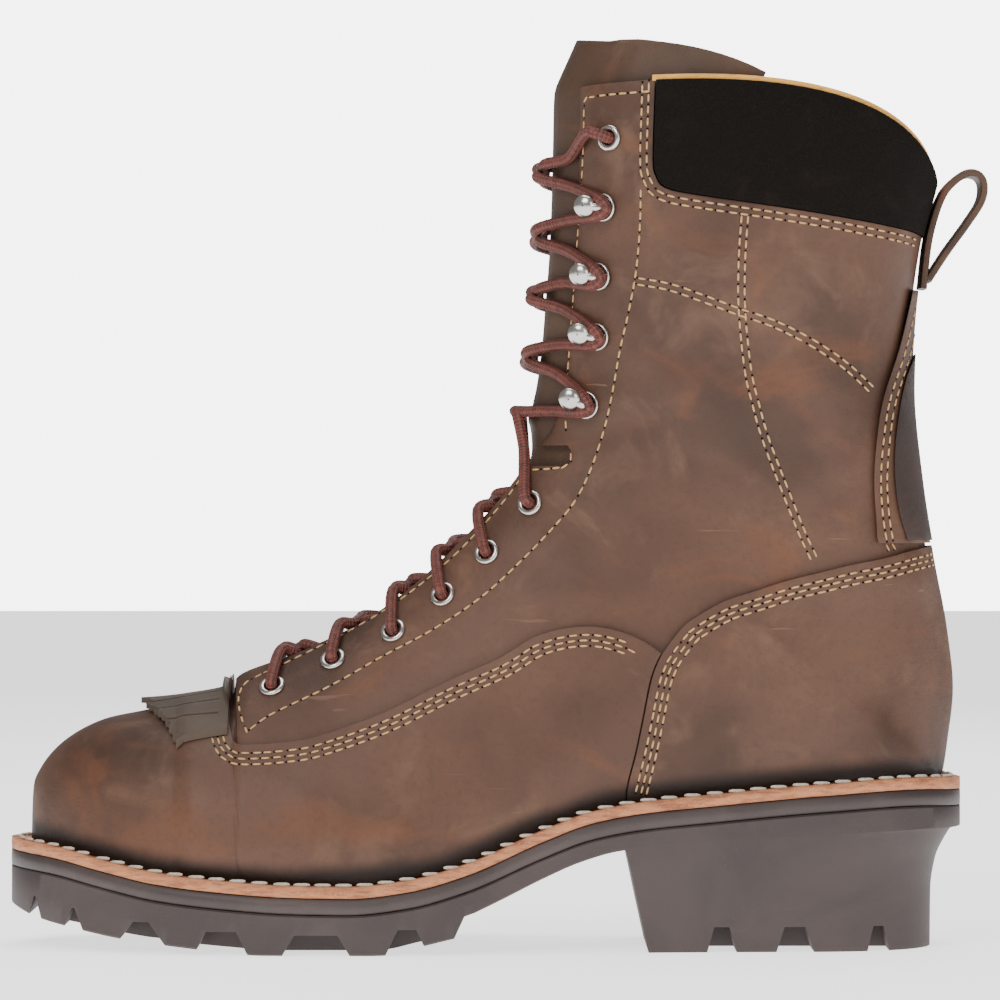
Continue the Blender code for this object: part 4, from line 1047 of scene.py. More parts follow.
@dataclass(frozen=True)
class OiledLeather:
    """Oiled leather that pulls up lighter, with grain, dull patches and pale scratches."""

    name: str
    base: tuple[float, ...] = rgb(96, 68, 54)
    light: tuple[float, ...] = rgb(124, 94, 76)
    dark: tuple[float, ...] = rgb(62, 43, 34)
    warm: tuple[float, ...] = rgb(112, 70, 48)
    gloss: float = 0.5
    oily_edge: bool = False

    def make(self) -> bpy.types.Material:
        """Build the material."""
        n = Nodes(self.name)
        broad = n.noise(13.0, 3.0, 0.55, 0.4)
        cloud = n.noise(38.0, 4.0, 0.6, 0.6)
        rust = n.noise(24.0, 3.0, 0.6, 0.8, n.stretched((1.0, 1.0, 1.6), 0.5))
        colour = n.mixed(broad.between(0.38, 0.66) * 0.85, self.base, self.dark)
        colour = n.mixed(cloud.between(0.50, 0.78) * 0.55, colour, self.light)
        colour = n.mixed(rust.between(0.52, 0.74) * 0.6, colour, self.warm)
        fleck = n.noise(420.0, 4.0, 0.65)
        colour = n.mixed(fleck.between(0.45, 0.75) * 0.22, colour, self.dark)
        hair = n.noise(150.0, 2.0, 0.5, 0.3, n.stretched((0.16, 1.0, 2.6), 0.6))
        other = n.noise(120.0, 2.0, 0.5, 0.3, n.stretched((0.2, 1.0, 2.4), -0.9))
        patch = n.noise(30.0, 2.0).between(0.52, 0.62)
        scratch = (hair.between(0.70, 0.74) + other.between(0.71, 0.75)) * patch
        colour = n.mixed(scratch * 0.55, colour, self.light)
        if self.oily_edge:
            soaked = n.node("ShaderNodeAttribute", {"attribute_name": "soaked"}, {}, "Fac")
            edge = (soaked + (cloud - 0.5) * 0.35).between(0.35, 0.8)
            colour = n.mixed(edge * 0.9, colour, rgb(24, 16, 13))
        n.put("Base Color", colour)
        n.put("Roughness", self.gloss + (cloud - 0.5) * 0.25 + scratch * 0.1)
        n.put("Specular IOR Level", 0.28)
        pores = n.noise(1500.0, 3.0, 0.6)
        creases = n.noise(330.0, 4.0, 0.6, 0.5)
        n.bump(pores * 0.35 + creases * 0.65 + scratch * 0.3, 0.00022)
        return n.material


@dataclass(frozen=True)
class Rubber:
    """Moulded rubber with faint dust and scuffs."""

    name: str
    base: tuple[float, ...] = rgb(60, 50, 48)
    worn: tuple[float, ...] = rgb(84, 70, 68)
    gloss: float = 0.6

    def make(self) -> bpy.types.Material:
        """Build the material."""
        n = Nodes(self.name)
        broad = n.noise(26.0, 4.0, 0.6, 0.5)
        fine = n.noise(900.0, 3.0, 0.6)
        scuff = n.noise(90.0, 3.0, 0.6, 0.3, n.stretched((0.25, 0.4, 2.2)))
        mark = scuff.between(0.60, 0.72) * broad.between(0.45, 0.6)
        colour = n.mixed(broad.between(0.35, 0.7) * 0.5, self.base, self.worn)
        colour = n.mixed(mark * 0.5, colour, self.worn)
        n.put("Base Color", n.mixed(fine.between(0.62, 0.72) * 0.35, colour, self.worn))
        n.put("Roughness", self.gloss + (broad - 0.5) * 0.2 + mark * 0.1)
        n.bump(fine * 0.7 + broad * 0.3, 0.00012)
        return n.material


@dataclass(frozen=True)
class RawEdge:
    """Cut leather edge with fibres along it, as on a welt."""

    name: str
    base: tuple[float, ...] = rgb(196, 128, 86)
    dark: tuple[float, ...] = rgb(138, 78, 50)

    def make(self) -> bpy.types.Material:
        """Build the material."""
        n = Nodes(self.name)
        fibre = n.noise(520.0, 4.0, 0.65, 0.2, n.stretched((0.3, 0.3, 1.8)))
        blot = n.noise(60.0, 3.0, 0.6)
        pits = n.noise(1200.0, 2.0, 0.6)
        colour = n.mixed(fibre.between(0.42, 0.68) * 0.75, self.base, self.dark)
        colour = n.mixed(blot.between(0.55, 0.75) * 0.5, colour, self.dark)
        n.put("Base Color", n.mixed(pits.between(0.6, 0.7) * 0.4, colour, rgb(226, 176, 136)))
        n.put("Roughness", 0.62 + (fibre - 0.5) * 0.2)
        n.bump(fibre * 0.7 + pits * 0.3, 0.0003)
        return n.material


@dataclass(frozen=True)
class Nap:
    """Short napped leather or knit."""

    name: str
    base: tuple[float, ...] = rgb(17, 13, 11)
    light: tuple[float, ...] = rgb(40, 33, 29)

    def make(self) -> bpy.types.Material:
        """Build the material."""
        n = Nodes(self.name)
        fuzz = n.noise(2200.0, 3.0, 0.7)
        brushed = n.noise(45.0, 4.0, 0.6, 0.8)
        colour = n.mixed(fuzz.between(0.4, 0.75) * 0.6, self.base, self.light)
        n.put("Base Color", n.mixed(brushed.between(0.55, 0.8) * 0.45, colour, self.light))
        n.put("Roughness", 0.93)
        n.put("Specular IOR Level", 0.12)
        n.bump(fuzz * 0.6 + brushed * 0.4, 0.0004)
        return n.material


@dataclass(frozen=True)
class Plate:
    """Bright nickel plate with a little tarnish."""

    name: str
    base: tuple[float, ...] = rgb(205, 200, 194)
    gloss: float = 0.2

    def make(self) -> bpy.types.Material:
        """Build the material."""
        n = Nodes(self.name)
        dull = n.noise(300.0, 3.0, 0.6)
        n.put("Base Color", n.mixed(dull.between(0.5, 0.8) * 0.4, self.base, rgb(120, 110, 100)))
        n.put("Metallic", 1.0)
        n.put("Roughness", self.gloss + dull.between(0.45, 0.8) * 0.18)
        n.bump(dull, 0.00003)
        return n.material


@dataclass(frozen=True)
class Braid:
    """Round braided cord, whose strands follow its UV map."""

    name: str
    base: tuple[float, ...] = rgb(112, 56, 46)
    fleck: tuple[float, ...] = rgb(44, 26, 22)

    def make(self) -> bpy.types.Material:
        """Build the material."""
        n = Nodes(self.name)
        uv = n.node("ShaderNodeTexCoord", output="UV")
        split = n.node("ShaderNodeSeparateXYZ", {}, {0: uv}, 0)
        turn = n.node("ShaderNodeSeparateXYZ", {}, {0: uv}, 1)
        one = (split * 11.0 + turn * math.tau * 4.0).sine()
        two = (split * 11.0 - turn * math.tau * 4.0).sine()
        strand = one * two
        pick = n.noise(420.0, 2.0, 0.6)
        colour = n.mixed((strand * 0.5 + pick).between(0.42, 0.72) * 0.85, self.base, self.fleck)
        n.put("Base Color", n.mixed(strand.between(0.3, 1.0) * 0.25, colour, rgb(146, 84, 68)))
        n.put("Roughness", 0.68)
        n.bump(strand * 0.5 + pick * 0.3 + 0.5, 0.00035)
        return n.material


@dataclass(frozen=True)
class Thread:
    """Waxed sewing thread."""

    name: str
    base: tuple[float, ...] = rgb(206, 166, 112)
    shade: tuple[float, ...] = rgb(158, 118, 74)
    gloss: float = 0.5

    def make(self) -> bpy.types.Material:
        """Build the material."""
        n = Nodes(self.name)
        ply = n.noise(1600.0, 2.0, 0.6)
        tone = n.noise(90.0, 2.0, 0.5)
        shaded = ply.between(0.4, 0.7) * 0.5 + tone * 0.2
        n.put("Base Color", n.mixed(shaded, self.base, self.shade))
        n.put("Roughness", self.gloss)
        n.bump(ply, 0.00015)
        return n.material


@dataclass(frozen=True)
class Finishes:
    """All finishes of the boot."""

    upper: bpy.types.Material = field(default_factory=OiledLeather("upper_leather").make)
    foot: bpy.types.Material = field(
        default_factory=OiledLeather("foot_leather", oily_edge=True).make)
    shaft_back: bpy.types.Material = field(default_factory=OiledLeather(
        "back_panel_leather", rgb(62, 48, 44), rgb(80, 62, 54), rgb(44, 34, 31),
        rgb(72, 50, 40), 0.55).make)
    tongue: bpy.types.Material = field(default_factory=OiledLeather(
        "tongue_leather", rgb(86, 64, 50), rgb(112, 88, 72), rgb(58, 43, 35)).make)
    kiltie: bpy.types.Material = field(default_factory=OiledLeather(
        "kiltie_leather", rgb(88, 74, 62), rgb(116, 100, 86), rgb(66, 54, 45),
        rgb(96, 74, 58), 0.58).make)
    lining: bpy.types.Material = field(default_factory=Nap(
        "lining", rgb(150, 110, 70), rgb(186, 146, 100)).make)
    collar: bpy.types.Material = field(default_factory=Nap("collar_nap").make)
    rim: bpy.types.Material = field(default_factory=RawEdge(
        "rim_edge", rgb(232, 172, 76), rgb(196, 130, 48)).make)
    welt: bpy.types.Material = field(default_factory=RawEdge("welt_edge").make)
    outsole: bpy.types.Material = field(default_factory=Rubber("outsole_rubber").make)
    midsole: bpy.types.Material = field(default_factory=Rubber(
        "midsole_rubber", rgb(58, 47, 45), rgb(88, 74, 70), 0.5).make)
    insole: bpy.types.Material = field(default_factory=RawEdge(
        "insole_leather", rgb(178, 134, 92), rgb(140, 100, 66)).make)
    nickel: bpy.types.Material = field(default_factory=Plate("nickel").make)
    # near-black painted shade, made with the nap finish, for the discs in the eyelets and at the
    # needle holes
    dark: bpy.types.Material = field(default_factory=Nap(
        "painted_hole_shade", rgb(12, 9, 8), rgb(18, 14, 12)).make)
    lace: bpy.types.Material = field(default_factory=Braid("lace_braid").make)
    gold: bpy.types.Material = field(default_factory=Thread("seam_thread").make)
    pale: bpy.types.Material = field(default_factory=Thread(
        "welt_thread", rgb(226, 214, 196), rgb(176, 160, 140), 0.65).make)


@dataclass
class Sole:
    """Insole, stitched welt, midsole and lugged outsole."""

    finishes: Finishes
    rows: int = 150
    edge_round: float = 0.0006

    def slab(self, inset: float, top: Callable[[float], float], bottom: Callable[[float], float],
             bulge: float = 0.0) -> bmesh.types.BMesh:
        """Slab with the sole's outline between two height functions.

        Args:
            inset: How far its edge stands in.
            top: Height of its top by length.
            bottom: Height of its underside by length.
            bulge: How far the middle of its edge stands out.

        Returns:
            A closed slab.
        """
        outer, inner = edge_points(-1, inset), edge_points(1, inset)
        spread = 0.5 - 0.5 * np.cos(np.linspace(0.0, math.pi, self.rows + 1))
        rows = []
        for share in spread:
            x = float(outer[0, 0] + (outer[-1, 0] - outer[0, 0]) * share)
            yo = float(np.interp(x, outer[:, 0], outer[:, 1]))
            yi = float(np.interp(x, inner[:, 0], inner[:, 1]))
            up, down = top(x), bottom(x)
            mid, soft = 0.5 * (up + down), min(self.edge_round, 0.25 * (up - down))
            wide = 1.0 if yi - yo > 4.0 * soft else 0.0
            row = [(yo + soft * wide, up), (yi - soft * wide, up), (yi, up - soft),
                   (yi + bulge * wide, mid), (yi, down + soft), (yi - soft * wide, down),
                   (yo + soft * wide, down), (yo, down + soft), (yo - bulge * wide, mid),
                   (yo, up - soft)]
            rows.append([Vector((x, y, z)) for y, z in row])
        return capped(rows)

    def heel_block(self) -> bmesh.types.BMesh:
        """Heel under the arch: slanted breast and a round back that draws in to the floor."""
        outer, inner = edge_points(-1), edge_points(1)
        rows = []
        shares = 1.0 - (1.0 - np.linspace(0.0, 1.0, FINE_HEEL_POINTS))**2
        for level in np.linspace(0.0, 1.0, FINE_HEEL_LEVELS):
            front = along(column(HEEL_BREAST, level))
            back = along(column(HEEL_BACK, level))
            row = []
            for edge, sign, order in ((outer, 1.0, shares), (inner, -1.0, shares[::-1][1:])):
                for share in order:
                    source = front + (along(1.0) - front) * share
                    y = float(np.interp(source, edge[:, 0], edge[:, 1]))
                    y += sign * HEEL_SIDE_TAPER * (1.0 - level) if share < 1.0 else 0.0
                    z = level * (tread_bottom(source) + HEEL_BLOCK_DEPTH)
                    row.append(Vector((front + (back - front) * share, y, z)))
            rows.append(row)
        return capped(rows)

    def wedge(self, x: float, low: float, top: float, reach: Pair, z_top: float,
              depth: float) -> bmesh.types.BMesh:
        """Cutter for a tread gap that narrows upwards.

        Args:
            x: Middle of the gap.
            low: Half width at the tread.
            top: Half width at the root.
            reach: Ends across the boot.
            z_top: Height of the root.
            depth: Depth of the gap.

        Returns:
            A closed cutter that starts well under the tread.
        """
        under = top + (low - top) * 1.5
        rows = []
        for y in reach:
            rows.append([Vector((x - under, y, z_top - 1.5 * depth)),
                         Vector((x + under, y, z_top - 1.5 * depth)),
                         Vector((x + top, y, z_top)), Vector((x - top, y, z_top))])
        return capped(rows)

    def lane(self, side: int) -> bmesh.types.BMesh:
        """Cutter for the channel between the side lugs and the middle lugs."""
        near, far = edge_points(side, CHANNEL_IN), edge_points(side, CHANNEL_IN + CHANNEL_WIDE)
        rows = []
        for x in np.linspace(along(0.10), along(0.44), 24):
            y1 = float(np.interp(x, near[:, 0], near[:, 1]))
            y2 = float(np.interp(x, far[:, 0], far[:, 1]))
            up, down = tread_bottom(x) + LUG_DEPTH, tread_bottom(x) - LUG_DEPTH
            rows.append([Vector((x, y1, up)), Vector((x, y2, up)),
                         Vector((x, y2, down)), Vector((x, y1, down))])
        return capped(rows)

    def tread_gaps(self) -> list[tuple[bmesh.types.BMesh, Cut]]:
        """Every cutter of the tread."""
        gaps = []
        for side in (-1, 1):
            gaps.append(self.lane(side))
            for share, low, top in SIDE_GAPS:
                x = along(share)
                inside = middle_line(x) + side * max(0.0, half_width(x, side, 0.0) - GAP_REACH)
                gaps.append(self.wedge(x, along(low), along(top), (inside, side * BALL_WIDTH),
                                       tread_bottom(x) + LUG_DEPTH, LUG_DEPTH))
            for share, low, top in HEEL_GAPS:
                gaps.append(self.wedge(along(share), along(low), along(top),
                                       (side * HEEL_ISLAND, side * BALL_WIDTH),
                                       HEEL_GAP_DEPTH, HEEL_GAP_DEPTH))
        reach = 0.5 * BALL_WIDTH - CHANNEL_IN - 0.5 * CHANNEL_WIDE
        for share in MIDDLE_GAPS:
            x = along(share)
            gaps.append(self.wedge(x, MIDDLE_GAP_WIDE, 0.5 * MIDDLE_GAP_WIDE, (-reach, reach),
                                   tread_bottom(x) + LUG_DEPTH, LUG_DEPTH))
        return [(gap, Cut.TAKE) for gap in gaps]

    def build(self) -> None:
        """Build the insole, welt, midsole and outsole."""
        f = self.finishes
        outsole = carved(self.slab(0.0, outsole_top, tread_bottom),
                         [(self.heel_block(), Cut.ADD), *self.tread_gaps()], 0.0005)
        place_piece("outsole_tread", mesh_from(outsole, "outsole_tread", 35.0),
                    [f.outsole], ["outsole"])
        midsole = self.slab(0.0, midsole_top, midsole_bottom, 0.0005)
        place_piece("midsole_strip", mesh_from(midsole, "midsole_strip"),
                    [f.midsole], ["midsole"])
        welt = self.slab(0.0, welt_top, lambda x: welt_top(x) - WELT_THICK, 0.0003)
        place_piece("welt_strip", mesh_from(welt, "welt_strip"), [f.welt], ["welt"])
        insole = self.slab(WALL_INSET + INSOLE_CLEAR, lambda x: welt_top(x) + INSOLE_RISE,
                           lambda x: welt_top(x) + FIT)
        place_piece("insole_board", mesh_from(insole, "insole_board"),
                    [f.insole], ["insole"])


@dataclass
class Leathers:
    """The upper and the panels that lie on it."""

    finishes: Finishes
    made: list[bpy.types.Object] = field(default_factory=list)
    edge_round: float = 0.00045

    def soak(self, mesh: bpy.types.Mesh) -> None:
        """Store how far the dark oily edge above the welt reaches, for the finish."""
        layer = mesh.attributes.new("soaked", "FLOAT", "POINT")
        values = []
        for vert in mesh.vertices:
            rise = vert.co.z - welt_top(min(max(vert.co.x, 0.0), SOLE_LENGTH))
            values.append(max(0.0, 1.0 - rise / SOAKED_HEIGHT))
        layer.data.foreach_set("value", values)

    def panel(self, name: str, span: tuple[float, float], inside: float,
              outside: Callable[[Vector], float] | float, outline: Sequence[Pair],
              finish: bpy.types.Material, nodes: Sequence[str], slot: str = "upper",
              lining: bpy.types.Material | None = None) -> bpy.types.Object:
        """Panel on the upper inside a side view outline.

        Args:
            name: Name of the piece.
            span: Section rows that it covers.
            inside: Distance of its back from the upper's surface.
            outside: Distance of its face.
            outline: Outline in shares.
            finish: Its finish.
            nodes: Nodes that it stands for.
            slot: Kind of piece; only upper lets the wall cross itself when it is cut.
            lining: Finish of its inner face.

        Returns:
            The panel.
        """
        wall = shell(upper_sheet(*span, FINE_ROWS), inside, outside)
        cut = carved(wall, [(side_prism(outline), Cut.KEEP)], self.edge_round, slot == "upper")
        mesh = mesh_from(cut, name)
        self.soak(mesh)
        item = place_piece(name, mesh, [finish, lining or finish], nodes)
        self.made.append(item)
        return item

    def build_upper(self) -> None:
        """Quarters and shaft in one wall, cut out for the collar and the notch."""
        wall = shell(upper_sheet(0.0, TOP_ROW, FINE_ROWS), -LEATHER, 0.0)
        opening = [*curved(COLLAR_EDGE), (PAST_HEEL, COLLAR_LOW), (PAST_HEEL, COLLAR_HIGH)]
        notch = [*NOTCH[:2], (0.5895, 0.564), (0.5895, 0.576), *NOTCH[2:]]
        cut = carved(wall, [(side_prism(opening), Cut.TAKE), (side_prism(notch), Cut.TAKE)],
                     self.edge_round)
        mesh = mesh_from(cut, "quarters")
        self.soak(mesh)
        self.made.append(place_piece("quarters", mesh,
                                     [self.finishes.upper, self.finishes.lining], ["upper"]))

    def build_panels(self) -> None:
        """Vamp, counter, backstay with its smooth middle, and the padded collar."""
        f = self.finishes
        seam = 2.0 * FIT / SOLE_LENGTH
        front = curved(COUNTER_FRONT)
        vamp = [(BEFORE_TOE, OVER_VAMP), VAMP_EDGE[0], *curved(VAMP_EDGE[1:])]
        vamp += [(x - seam, z) for x, z in reversed(front[:-1])]
        vamp += [(COUNTER_FRONT[0][0] - seam, 0.0), (BEFORE_TOE, 0.0)]
        self.panel("vamp_panel", (0.0, 16.0), FIT, FIT + OVERLAY, vamp, f.foot, ["vamp"])
        counter = [(COUNTER_FRONT[0][0], 0.0), *curved([*COUNTER_FRONT, *COUNTER_TOP]),
                   (PAST_HEEL, COUNTER_LINE), (PAST_HEEL, 0.0)]
        self.panel("counter_panel", (11.0, 25.0), FIT, FIT + OVERLAY, counter, f.foot, ["counter"])
        stay = [(PAST_HEEL, COUNTER_LINE + seam)]
        stay += [(x, max(z, COUNTER_LINE + seam)) for x, z in curved(BACKSTAY_EDGE)]
        stay += [(PAST_HEEL, BACKSTAY_TOP)]
        self.panel("backstay_strip", (19.0, 28.0), FIT, OVERLAY, stay, f.upper, ["backstay"])
        self.panel("back_panel", (19.0, 28.0), OVERLAY - FIT, OVERLAY + BACK_PANEL_PROUD,
                   [*curved(BACK_PANEL), (PAST_HEEL, BACK_PANEL[-1][1]),
                    (PAST_HEEL, BACK_PANEL[0][1])], f.shaft_back, [])
        gap = FIT / SOLE_LENGTH
        pad = [(x + 1.5 * gap, z + gap) for x, z in curved(COLLAR_EDGE)]
        pad += [(PAST_HEEL, COLLAR_LOW), (PAST_HEEL, COLLAR_HIGH)]
        collar = self.panel("collar_pad", (23.0, 28.0), COLLAR_PROUD - COLLAR_PAD,
                            self.puffed, pad, f.collar, ["collar"], "collar")

    def puffed(self, point: Vector) -> float:
        """How far the collar stands out at a place: most in its middle."""
        across = (point.x / SOLE_LENGTH - 0.675) / 0.28
        up = (point.z / SHAFT_HEIGHT - 0.85) / 0.13
        swell = max(0.0, 1.0 - (2.0 * across - 1.0)**4) * max(0.0, 1.0 - (2.0 * up - 1.0)**4)
        return COLLAR_PROUD + COLLAR_SWELL * swell

    def build_rim(self) -> None:
        """Tan cut edge along the top of the collar, from one facing round to the other."""
        top = TOP_ROW
        steps = [s for s in np.linspace(RIM_START, 2.0, 40)]
        outer = [self.rim_point(top, -1, float(s)) for s in steps]
        inner = [self.rim_point(top, 1, float(s)) for s in steps[:-1]]
        strip = swept([*outer, *reversed(inner)], 1.0, 12, (RIM_HALF[0], RIM_HALF[1]))
        place_piece("collar_rim", mesh_from(strip, "collar_rim"), [self.finishes.rim])

    def rim_point(self, place: float, side: int, step: float) -> Vector:
        """Middle of the rim at a step round the collar."""
        point, normal = surface_frame(place - 0.02, side, min(step, 1.97))
        if step >= 1.97:
            point, normal = section_points(place, side, (step,))[0], Vector((1.0, 0.0, 0.0))
        return point + normal * RIM_OUT + Vector((0.0, 0.0, RIM_UP))

    def build(self) -> None:
        """Build every leather of the upper."""
        self.build_upper()
        self.build_panels()
        self.build_rim()


@dataclass
class Tongue:
    """Tall tongue with its rounded top, and the fringed flap before the lacing."""

    finishes: Finishes

    def bulge(self, place: float) -> float:
        """How far the middle of the tongue stands out of the throat."""
        rise = (place - TONGUE_RISE_ROW) / (TONGUE_FULL_ROW - TONGUE_RISE_ROW)
        rise = min(max(rise, 0.0), 1.0)
        swell = NOTCH_SWELL * math.exp(-((place - NOTCH_ROW) / NOTCH_SPREAD)**2)
        return swell + TONGUE_LOW + (TONGUE_BULGE - TONGUE_LOW) * rise * rise * (3.0 - 2.0 * rise)

    def middle(self, place: float, bulge: float) -> Vector:
        """Point over the middle line of the throat."""
        point = section_points(place, -1, (0.0,))[0]
        before = section_points(place - 0.05, -1, (0.0,))[0]
        run = (point - before).normalized()
        run.y = 0.0
        out = Vector((-run.z, 0.0, run.x)).normalized()
        return Vector((point.x, middle_line(point.x), point.z)) + out * bulge

    def row(self, place: float) -> Path:
        """Points across the tongue at one section, from the outer to the inner side."""
        gap = section(place)["gap"] * BALL_WIDTH
        sides = {}
        for side in (-1, 1):
            points = []
            for share in np.linspace(0.0, 0.8, 6):
                spot = self.middle(place, self.bulge(place) * (1.0 - 0.35 * share**2))
                spot.y += side * float(share) * gap
                points.append(spot)
            for step in np.linspace(0.0, 0.85, 12):
                point, normal = surface_frame(place, side, float(step))
                wall = LEATHER
                if place >= COLLAR_ROW and step >= COLLAR_STEP:
                    wall = COLLAR_PAD - COLLAR_PROUD
                points.append(point - normal * (wall + TONGUE_CLEAR))
            sides[side] = points
        return [*reversed(sides[-1]), *sides[1][1:]]

    def build_tongue(self) -> None:
        """Tongue from the front of the throat to its rounded top above the shaft."""
        rows = [self.row(float(p)) for p in np.linspace(THROAT_ROW + 0.1, TOP_ROW, 96)]
        middle = len(rows[0]) // 2
        last = rows[-1]
        for share in np.linspace(0.1, 1.0, 10):
            row = []
            for i, point in enumerate(last):
                rise = TONGUE_TOP * (1.0 - 0.8 * (abs(i - middle) / middle)**2.5) * float(share)
                row.append(point + Vector((TONGUE_LEAN * rise, 0.0, rise)))
            rows.append(row)
        bm = sheet_of(rows)
        for _ in range(3):
            bmesh.ops.smooth_vert(bm, verts=[v for v in bm.verts if not v.is_boundary], factor=0.5,
                                  use_axis_x=True, use_axis_y=True, use_axis_z=True)
        bm.normal_update()
        bm.verts.ensure_lookup_table()
        if bm.verts[0].normal.y > 0.0:
            bmesh.ops.reverse_faces(bm, faces=bm.faces)
            bm.normal_update()
        mesh = mesh_from(shell(bm, -TONGUE_THICK, 0.0), "tongue_leather")
        place_piece("tongue_leather", mesh,
                    [self.finishes.tongue, self.finishes.lining], ["tongue"])

    def build_kiltie(self) -> None:
        """Flap over the vamp, in strips whose tips are pinked and step back from the middle."""
        inside = OVERLAY + 2.0 * FIT
        wall = shell(upper_sheet(4.0, 8.9, 12), inside, inside + KILTIE_THICK)
        for vert in wall.verts:
            free = max(0.0, 1.0 - (vert.co.x - along(KILTIE_TIP)) / along(KILTIE_BACK - KILTIE_TIP))
            vert.co.z += KILTIE_CURL * free**2 * (0.6 + 0.4 * math.cos(vert.co.y * 260.0))
        width = 2.0 * KILTIE_HALF / KILTIE_STRIPS
        swing = middle_line(along(KILTIE_TIP))
        outline = [(along(KILTIE_BACK), swing + KILTIE_HALF - KILTIE_EASE),
                   (along(KILTIE_BACK), swing - KILTIE_HALF + KILTIE_EASE)]
        for strip in range(KILTIE_STRIPS):
            left = -KILTIE_HALF + strip * width
            beside = abs(left + 0.5 * width) / KILTIE_HALF
            tip = along(KILTIE_TIP + (KILTIE_CORNER - KILTIE_TIP) * beside**KILTIE_CURVE)
            first = left + (0.5 * KILTIE_SLIT if strip > 0 else 0.0)
            last = left + width - (0.5 * KILTIE_SLIT if strip < KILTIE_STRIPS - 1 else 0.0)
            slant = 0.45 * width * math.copysign(1.0, left + 0.5 * width)
            for k in range(KILTIE_TEETH * 2 + 1):
                share = k / (KILTIE_TEETH * 2)
                tooth = KILTIE_TOOTH * (k % 2)
                lean = slant * (share - 0.5)
                outline.append((tip + tooth + lean, swing + first + (last - first) * share))
            if strip < KILTIE_STRIPS - 1:
                root = along(KILTIE_SLIT_END)
                outline += [(root, swing + last), (root, swing + last + KILTIE_SLIT)]
        cutter = bmesh.new()
        face = cutter.faces.new([cutter.verts.new((x, y, high(0.20))) for x, y in outline])
        grown = bmesh.ops.extrude_face_region(cutter, geom=[face])
        moved = [v for v in grown["geom"] if isinstance(v, bmesh.types.BMVert)]
        bmesh.ops.translate(cutter, verts=moved, vec=(0.0, 0.0, high(0.2)))
        cut = carved(wall, [(cutter, Cut.KEEP)], 0.0003, True)
        place_piece("kiltie_flap", mesh_from(cut, "kiltie_flap"),
                    [self.finishes.kiltie, self.finishes.kiltie], ["kiltie"])

    def build_pull_loop(self) -> None:
        """Strap of the pull loop, folded over behind the collar."""
        path = rounded([Vector((along(x), 0.0, high(z))) for x, z in LOOP_MIDDLE], 6)
        strap = swept(path, 1.0, 20, (0.5 * LOOP_WIDTH, 0.5 * LOOP_THICK))
        place_piece("pull_loop_strap", mesh_from(strap, "pull_loop_strap"),
                    [self.finishes.tongue], ["pull_loop"])

    def build(self) -> None:
        """Build the tongue, the fringed flap and the pull loop."""
        self.build_tongue()
        self.build_kiltie()
        self.build_pull_loop()


